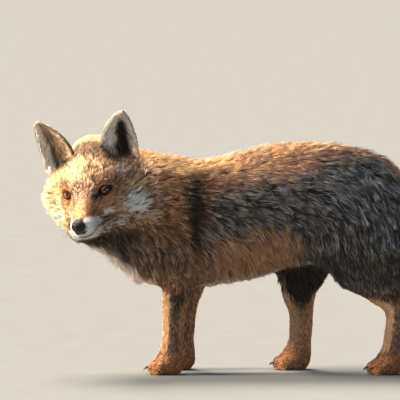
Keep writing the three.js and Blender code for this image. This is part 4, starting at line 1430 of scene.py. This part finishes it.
def tube_tree(name, inputs):
    """A Geometry Nodes tree that makes edges tapering tubes, and the identifiers of its inputs."""
    tree = bpy.data.node_groups.new(name, "GeometryNodeTree")
    face = tree.interface
    face.new_socket("Geometry", in_out="INPUT", socket_type="NodeSocketGeometry")
    keys = {}
    for label, (kind, _) in inputs.items():
        keys[label] = face.new_socket(label, in_out="INPUT", socket_type=kind).identifier
    face.new_socket("Geometry", in_out="OUTPUT", socket_type="NodeSocketGeometry")

    def node(kind, **settings):
        made = tree.nodes.new(kind)
        for key, value in settings.items():
            setattr(made, key, value)
        return made

    def link(source, output, target, name_or_index):
        tree.links.new(source.outputs[output], target.inputs[name_or_index])

    given, result = node("NodeGroupInput"), node("NodeGroupOutput")
    curve = node("GeometryNodeMeshToCurve")
    along = node("GeometryNodeSplineParameter")
    left = node("ShaderNodeMath", operation="SUBTRACT")
    left.inputs[0].default_value = 1.0
    bent = node("ShaderNodeMath", operation="POWER")
    radius = node("ShaderNodeMath", operation="MULTIPLY")
    half = node("ShaderNodeMath", operation="MULTIPLY")
    half.inputs[1].default_value = 0.5
    thin = node("ShaderNodeMath", operation="MAXIMUM")
    thin.inputs[1].default_value = THINNEST_TIP
    size = node("GeometryNodeSetCurveRadius")
    ring = node("GeometryNodeCurvePrimitiveCircle")
    ring.inputs["Radius"].default_value = 1.0
    skin = node("GeometryNodeCurveToMesh")
    skin.inputs["Fill Caps"].default_value = True
    real = node("GeometryNodeRealizeInstances")
    paint = node("GeometryNodeSetMaterial")
    # Radius along the tube: half the thickness times the share of its length that is left, bent by the taper.
    link(along, "Factor", left, 1)
    link(left, 0, bent, 0)
    link(given, "Taper", bent, 1)
    link(given, "Thickness", half, 0)
    link(bent, 0, radius, 0)
    link(half, 0, radius, 1)
    link(radius, 0, thin, 0)
    link(given, "Geometry", curve, "Mesh")
    link(curve, 0, size, "Curve")
    link(thin, 0, size, "Radius")
    link(size, 0, skin, "Curve")
    link(given, "Sides", ring, "Resolution")
    link(ring, 0, skin, "Profile Curve")
    link(node("GeometryNodeInputRadius"), 0, skin, "Scale")
    link(skin, 0, real, 0)
    link(real, 0, paint, "Geometry")
    link(given, "Material", paint, "Material")
    link(paint, 0, result, 0)
    return tree, keys


def path_tubes(name, paths, material, thickness, taper, sides):
    """Tapering tubes along paths, made by Geometry Nodes from the paths' edges."""
    count, each = paths.shape[:2]
    mesh = bpy.data.meshes.new(name)
    starts = np.arange(count)[:, None] * each + np.arange(each - 1)[None, :]
    edges = np.stack([starts, starts + 1], axis=-1).reshape(-1, 2)
    mesh.from_pydata(paths.reshape(-1, 3).tolist(), edges.tolist(), [])
    inputs = {
        "Thickness": ("NodeSocketFloat", thickness),
        "Taper": ("NodeSocketFloat", taper),
        "Sides": ("NodeSocketInt", sides),
        "Material": ("NodeSocketMaterial", material),
    }
    holder = bpy.data.objects.new(name, mesh)
    bpy.context.scene.collection.objects.link(holder)
    modifier = holder.modifiers.new(name, "NODES")
    modifier.node_group, keys = tube_tree(name, inputs)
    for label, (_, value) in inputs.items():
        modifier[keys[label]] = value
    made = bpy.data.meshes.new_from_object(holder.evaluated_get(bpy.context.evaluated_depsgraph_get()))
    bpy.data.objects.remove(holder)
    turn_outward(made)
    return made


def bow(start, middle, end, count):
    """Points on a curve from start to end that is pulled towards middle."""
    t = np.linspace(0, 1, count)[:, None]
    return (1 - t) ** 2 * start + 2 * t * (1 - t) * middle + t**2 * end


def claw_paths():
    """A bent line for each claw, from inside its toe to its tip."""
    paths = []
    for name in CLAWS:
        low, high = (np.array(corner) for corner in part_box(name))
        y = (low[1] + high[1]) / 2
        root = np.array([high[0] + 5 * MM, y, high[2] - 0.5 * MM])
        tip = np.array([low[0] + 5 * MM, y, low[2] + 0.6 * MM])
        knee = np.array([(root[0] + tip[0]) / 2 - 2 * MM, y, root[2] + 1.0 * MM])
        paths.append(bow(root, knee, tip, 9))
    return np.array(paths)


def whisker_paths(seed):
    """Rows of whiskers on both sides of the muzzle, and a few over each eye."""
    rng = np.random.default_rng(seed)
    paths = []
    for sign in SIDES.values():
        for row, level in enumerate((-29, -34, -39)):
            for i in range(5):
                root = np.array([50 - 6.5 * i, 15.5 + 1.1 * i, level + rng.uniform(-1, 1)])
                long = rng.uniform(34, 44) + 4 * i
                aim = unit(np.array([-0.15 - 0.10 * i, 0.95, -0.28 - 0.16 * row]) + rng.normal(0, 0.06, 3))
                tip = root + aim * long + np.array([-8, 0, -6])
                paths.append(bow(root - aim * 2, root + aim * long * 0.55, tip, 12) * (1, sign, 1))
        for i in range(3):
            root = np.array([4 - 5 * i, 24 + 5 * i, 14 + i])
            tip = root + unit(np.array([0.2, 0.5, 0.85])) * (24 + 3 * i)
            paths.append(bow(root, (root + tip) / 2 + np.array([3, 0, 2]), tip, 12) * (1, sign, 1))
    return from_head(np.array(paths) * MM)


# ---------------------------------------------------------------- materials


def marked_colour(shader, colours, along, chance, other):
    """The coat's colour from its marks, the place along a hair and the hair's two random numbers."""

    def ragged(mark):
        return (mark + (chance - 0.5) * 0.5).between(0.28, 0.72)

    def soft(mark):
        return (mark + (chance - 0.5) * 0.5).between(0.05, 0.95)

    marks_of = {}
    for key, names in MARK_SETS.items():
        marks_of.update(zip(names, shader.parts(shader.stored(key))))
    colour = shader.mix(ragged(marks_of["gold"]), tuple(colours.rust), tuple(colours.gold))
    for name in ("flank", "belly", "brown", "tan", "orange"):
        colour = shader.mix(ragged(marks_of[name]), colour, tuple(getattr(colours, name)))
    pale = shader.mix(marks_of["warm"], tuple(colours.sky_tinted_frost), tuple(colours.straw))
    tipped = (marks_of["tips"] + other - 0.86).between(0.0, 0.4) * along.between(0.35, 0.9) * 0.88
    colour = shader.mix(tipped, colour, pale)
    cream = soft(marks_of["cream"])
    colour = shader.mix(cream, colour, tuple(colours.crown))
    cream_tips = cream * (along + (other - 0.5) * 0.4).between(-0.15, 0.55)
    colour = shader.mix(cream_tips, colour, tuple(colours.cream))
    for name in ("white", "ear_hair", "black"):
        colour = shader.mix(ragged(marks_of[name]), colour, tuple(getattr(colours, name)))
    return colour


def coat_material(colours):
    """Hair: dark at its root, paler towards its tip, each tuft a little different."""
    shader = Shader("coat", Roughness=0.6, Specular_IOR_Level=0.25, Sheen_Weight=0.1, Sheen_Roughness=0.4)
    shader.surface.inputs["Sheen Tint"].default_value = (1.0, 0.85, 0.62, 1.0)
    along, chance, other = shader.parts(shader.stored("strand"))
    colour = marked_colour(shader, colours, along, chance, other)
    shade = (along.between(0.0, 0.75) * 0.55 + 0.5) * (chance * 0.36 + 0.82)
    shader.to("Base Color", shader.scaled(colour, shade))
    shader.to("Roughness", other * 0.2 + 0.5)
    return shader.material


def skin_material(colours):
    """Short hair close to the skin: the coat's marks, darker, broken up by fine strands."""
    shader = Shader("skin", Roughness=0.75, Specular_IOR_Level=0.2)
    grain = shader.noise(420.0, detail=3.0, stretch=(1.0, 1.0, 0.6))
    chance = ((grain - 0.5) * 2.2 + 0.5).clipped()
    other = shader.noise(260.0)
    colour = marked_colour(shader, colours, grain, chance, other)
    shader.to("Base Color", shader.scaled(colour, grain * 0.5 + 0.35))
    shader.to("Roughness", grain * 0.2 + 0.62)
    shader.bump(grain + shader.noise(1300.0, detail=1.0) * 0.4, 0.7 * MM)
    return shader.material


def eye_material(colours):
    """Brown iris with radial fibres, a dark pupil and a dark rim."""
    shader = Shader("eye", Roughness=0.3, Specular_IOR_Level=0.1, Coat_Weight=0.8, Coat_Roughness=0.02)
    across, up, ahead = shader.parts(shader.stored("gaze"))
    front = ahead.between(0.0, 1.0)
    out = (across * across + up * up) ** 0.5
    pupil = ((across / 2.1) ** 2.0 + (up / 2.7) ** 2.0) ** 0.5
    turn = shader.node("ShaderNodeMath", {"operation": "ARCTAN2"}, up, across)
    at_fibres = shader.node("ShaderNodeCombineXYZ", {}, turn * 5.0, out * 0.35, 0.0)
    fibres = shader.node("ShaderNodeTexNoise", {}, at_fibres, Scale=3.0, Detail=3.0)
    amber = tuple(colours.iris)
    pale = tuple(min(1.0, c * 1.7 + 0.02) for c in amber)
    colour = shader.mix(out.between(6.0, 2.2), amber, pale)
    colour = shader.scaled(colour, fibres * 0.9 + 0.5)
    colour = shader.mix(out.between(5.2, 6.4), colour, (0.02, 0.012, 0.008))
    colour = shader.mix(pupil.between(1.12, 0.9) * front, colour, (0.002, 0.002, 0.002))
    shader.to("Base Color", colour)
    return shader.material


def wet_skin_material(name, tone, cells, moist):
    """Dark bare skin, finely cobbled and moist."""
    shader = Shader(name, Specular_IOR_Level=3 * moist, Coat_Weight=moist, Coat_Roughness=0.2)
    cobbles = shader.node("ShaderNodeTexVoronoi", {}, shader.place(), Scale=cells)
    patchy = shader.noise(160.0)
    paler = tuple(c * 2.2 for c in tone)
    shader.to("Base Color", shader.mix(patchy, tone, paler))
    shader.to("Roughness", patchy * 0.25 + 0.36)
    shader.bump(cobbles * -1.0, 0.2 * MM, 0.8)
    return shader.material


def horn_material(name, dark, pale, roughness):
    """Claws and whiskers: horn with streaks along it."""
    shader = Shader(name, Roughness=roughness)
    streaks = shader.noise(300.0, stretch=(0.2, 1.0, 1.0))
    shader.to("Base Color", shader.mix(streaks.between(0.35, 0.7), dark, pale))
    shader.to("Roughness", streaks * 0.2 + roughness)
    return shader.material


def floor_material():
    """A plain grey floor, faintly mottled."""
    shader = Shader("floor", Roughness=0.9, Specular_IOR_Level=0.0)
    grain = shader.noise(14.0, detail=3.0)
    shader.to("Base Color", shader.mix(grain, (0.145, 0.150, 0.160), (0.165, 0.170, 0.180)))
    shader.to("Roughness", grain * 0.1 + 0.85)
    return shader.material


# ---------------------------------------------------------------- stage

CAMERA_HEIGHT_ANGLE = math.radians(4)
CAMERA_DISTANCE = 6.0
VIEW_WIDTH = 0.66
SENSOR = 36.0
VIEW_MIDDLE = ORIGIN + np.array([0, 0, 285]) * MM
TO_CAMERA = np.array([0, -math.cos(CAMERA_HEIGHT_ANGLE), math.sin(CAMERA_HEIGHT_ANGLE)])
CAMERA_AT = VIEW_MIDDLE + CAMERA_DISTANCE * TO_CAMERA
FLOOR_RADIUS = 90.0
SKY_TONE = (0.60, 0.79, 1.0, 1)
SKY_STRENGTH = 0.40


def look_at(thing, target):
    away = Vector(target) - thing.location
    thing.rotation_euler = away.to_track_quat("-Z", "Y").to_euler()


def add_light(name, kind, place, power, tone, **settings):
    light = bpy.data.lights.new(name, kind)
    light.energy = power
    light.color = tone
    for key, value in settings.items():
        setattr(light, key, value)
    lamp = bpy.data.objects.new(name, light)
    bpy.context.scene.collection.objects.link(lamp)
    lamp.location = place
    look_at(lamp, tuple(VIEW_MIDDLE))


def add_floor():
    floor = bmesh.new()
    bmesh.ops.create_circle(floor, cap_ends=True, radius=FLOOR_RADIUS, segments=96)
    mesh = bpy.data.meshes.new("floor")
    floor.to_mesh(mesh)
    floor.free()
    mesh.materials.append(floor_material())
    ground = bpy.data.objects.new("floor", mesh)
    bpy.context.scene.collection.objects.link(ground)


def add_sky():
    scene = bpy.context.scene
    scene.world = scene.world or bpy.data.worlds.new("world")
    scene.world.use_nodes = True
    scene.view_settings.view_transform = "Standard"
    sky = scene.world.node_tree.nodes["Background"]
    sky.inputs["Color"].default_value = SKY_TONE
    sky.inputs["Strength"].default_value = SKY_STRENGTH


def add_camera():
    camera = bpy.data.cameras.new("camera")
    camera.sensor_width = SENSOR
    camera.lens = SENSOR * CAMERA_DISTANCE / VIEW_WIDTH
    holder = bpy.data.objects.new("camera", camera)
    bpy.context.scene.collection.objects.link(holder)
    holder.location = CAMERA_AT
    look_at(holder, tuple(VIEW_MIDDLE))
    bpy.context.scene.camera = holder


def add_stage():
    add_floor()
    add_sky()
    add_light("key", "SUN", (-5.3, -0.25, 2.8), 11.5, (1.0, 0.86, 0.64), angle=math.radians(14))
    add_light("back", "SUN", (-1.4, 1.8, 4.8), 10.0, (1.0, 0.88, 0.70), angle=math.radians(30))
    add_light("fill", "AREA", (0.9, -3.2, 1.8), 20, (0.70, 0.86, 1.0), shape="DISK", size=2.6)
    add_camera()


# ---------------------------------------------------------------- operators


class FOX_OT_skin(bpy.types.Operator):
    """Makes the one skin that stands for every node of flesh"""

    bl_idname = "fox.skin"
    bl_label = "Skin"

    def execute(self, context):
        mesh = made_skin(context.scene.fox_sizes)
        keep_coat_map(mesh)
        shown("skin", mesh, skin_material(context.scene.fox_colours), "rust_fur", *FLESH, *EARS)
        return {"FINISHED"}


class FOX_OT_eyes(bpy.types.Operator):
    """Makes both eyeballs and their lids"""

    bl_idname = "fox.eyes"
    bl_label = "Eyes"

    def execute(self, context):
        scene = context.scene
        amber = eye_material(scene.fox_colours)
        for side, eye in EYES.items():
            shown(f"eyeball_{side}", ball_mesh(eye), amber, "eye", f"eye_{side}")
        lids = joined_meshes([lid_mesh(eye, scene.fox_sizes.lid) for eye in EYES.values()])
        bare = wet_skin_material("lid skin", tone=(0.014, 0.008, 0.006), cells=900.0, moist=0.04)
        shown("eyelids", lids, bare, "nose_skin")
        return {"FINISHED"}


NOSE_GRAIN = 0.7 * MM
NOSE_SWELL = 0.25 * MM


class FOX_OT_nose(bpy.types.Operator):
    """Makes the smooth, moist nose"""

    bl_idname = "fox.nose"
    bl_label = "Nose"

    def execute(self, context):
        mesh = evaluated(merged_nodes(["nose"]), ("REMESH", {"mode": "VOXEL", "voxel_size": NOSE_GRAIN}))
        points = Neighbours(mesh).smoothed(coordinates(mesh), 14)
        move_to(mesh, points + normals(mesh) * NOSE_SWELL)
        tone = tuple(context.scene.fox_colours.nose)
        bare = wet_skin_material("nose skin", tone, cells=800.0, moist=0.045)
        shown("nose_pad", mesh, bare, "nose_skin", "nose")
        return {"FINISHED"}


class FOX_OT_claws(bpy.types.Operator):
    """Makes the curved claws of all four paws"""

    bl_idname = "fox.claws"
    bl_label = "Claws"

    def execute(self, context):
        dark, pale = (0.012, 0.009, 0.007), (0.06, 0.045, 0.033)
        horn = horn_material("claw horn", dark, pale, roughness=0.3)
        thick = context.scene.fox_sizes.claw
        mesh = path_tubes("claws", claw_paths(), horn, thick, taper=0.7, sides=12)
        shown("claws", mesh, horn, "claw", *CLAWS)
        return {"FINISHED"}


class FOX_OT_whiskers(bpy.types.Operator):
    """Makes the whiskers of the muzzle and brows"""

    bl_idname = "fox.whiskers"
    bl_label = "Whiskers"

    def execute(self, context):
        dark, pale = (0.01, 0.008, 0.007), (0.03, 0.024, 0.02)
        horn = horn_material("whisker horn", dark, pale, roughness=0.4)
        sizes = context.scene.fox_sizes
        mesh = path_tubes("whiskers", whisker_paths(sizes.seed), horn, sizes.whisker, taper=0.8, sides=6)
        shown("whiskers", mesh, horn, "claw")
        return {"FINISHED"}


class FOX_OT_coat(bpy.types.Operator):
    """Covers the skin with tufts that follow the lie of the coat"""

    bl_idname = "fox.coat"
    bl_label = "Coat"

    def execute(self, context):
        add_coat(context.scene.fox_sizes, coat_material(context.scene.fox_colours))
        return {"FINISHED"}


class FOX_OT_stage(bpy.types.Operator):
    """Adds the floor, the lights and the camera"""

    bl_idname = "fox.stage"
    bl_label = "Stage"

    def execute(self, context):
        add_stage()
        return {"FINISHED"}


OPERATORS = (FOX_OT_skin, FOX_OT_eyes, FOX_OT_nose, FOX_OT_claws, FOX_OT_whiskers, FOX_OT_coat, FOX_OT_stage)


class FOX_PT_panel(bpy.types.Panel):
    """Lists the fox's pieces with their sizes and colours"""

    bl_idname = "FOX_PT_panel"
    bl_label = "Red Fox"
    bl_space_type = "VIEW_3D"
    bl_region_type = "UI"
    bl_category = "Fox"

    def draw(self, context):
        for settings in (context.scene.fox_sizes, context.scene.fox_colours):
            box = self.layout.box()
            for key in settings.__annotations__:
                box.prop(settings, key)
        for operator in OPERATORS:
            self.layout.operator(operator.bl_idname)


CLASSES = (FoxColours, FoxSizes, *OPERATORS, FOX_PT_panel)


def register():
    for one in CLASSES:
        bpy.utils.register_class(one)
    bpy.types.Scene.fox_colours = PointerProperty(type=FoxColours)
    bpy.types.Scene.fox_sizes = PointerProperty(type=FoxSizes)


def unregister():
    del bpy.types.Scene.fox_sizes
    del bpy.types.Scene.fox_colours
    for one in reversed(CLASSES):
        bpy.utils.unregister_class(one)


def main():
    register()
    for piece in ("skin", "eyes", "nose", "claws", "whiskers", "coat", "stage"):
        getattr(bpy.ops.fox, piece)()


if __name__ == "__main__":
    main()
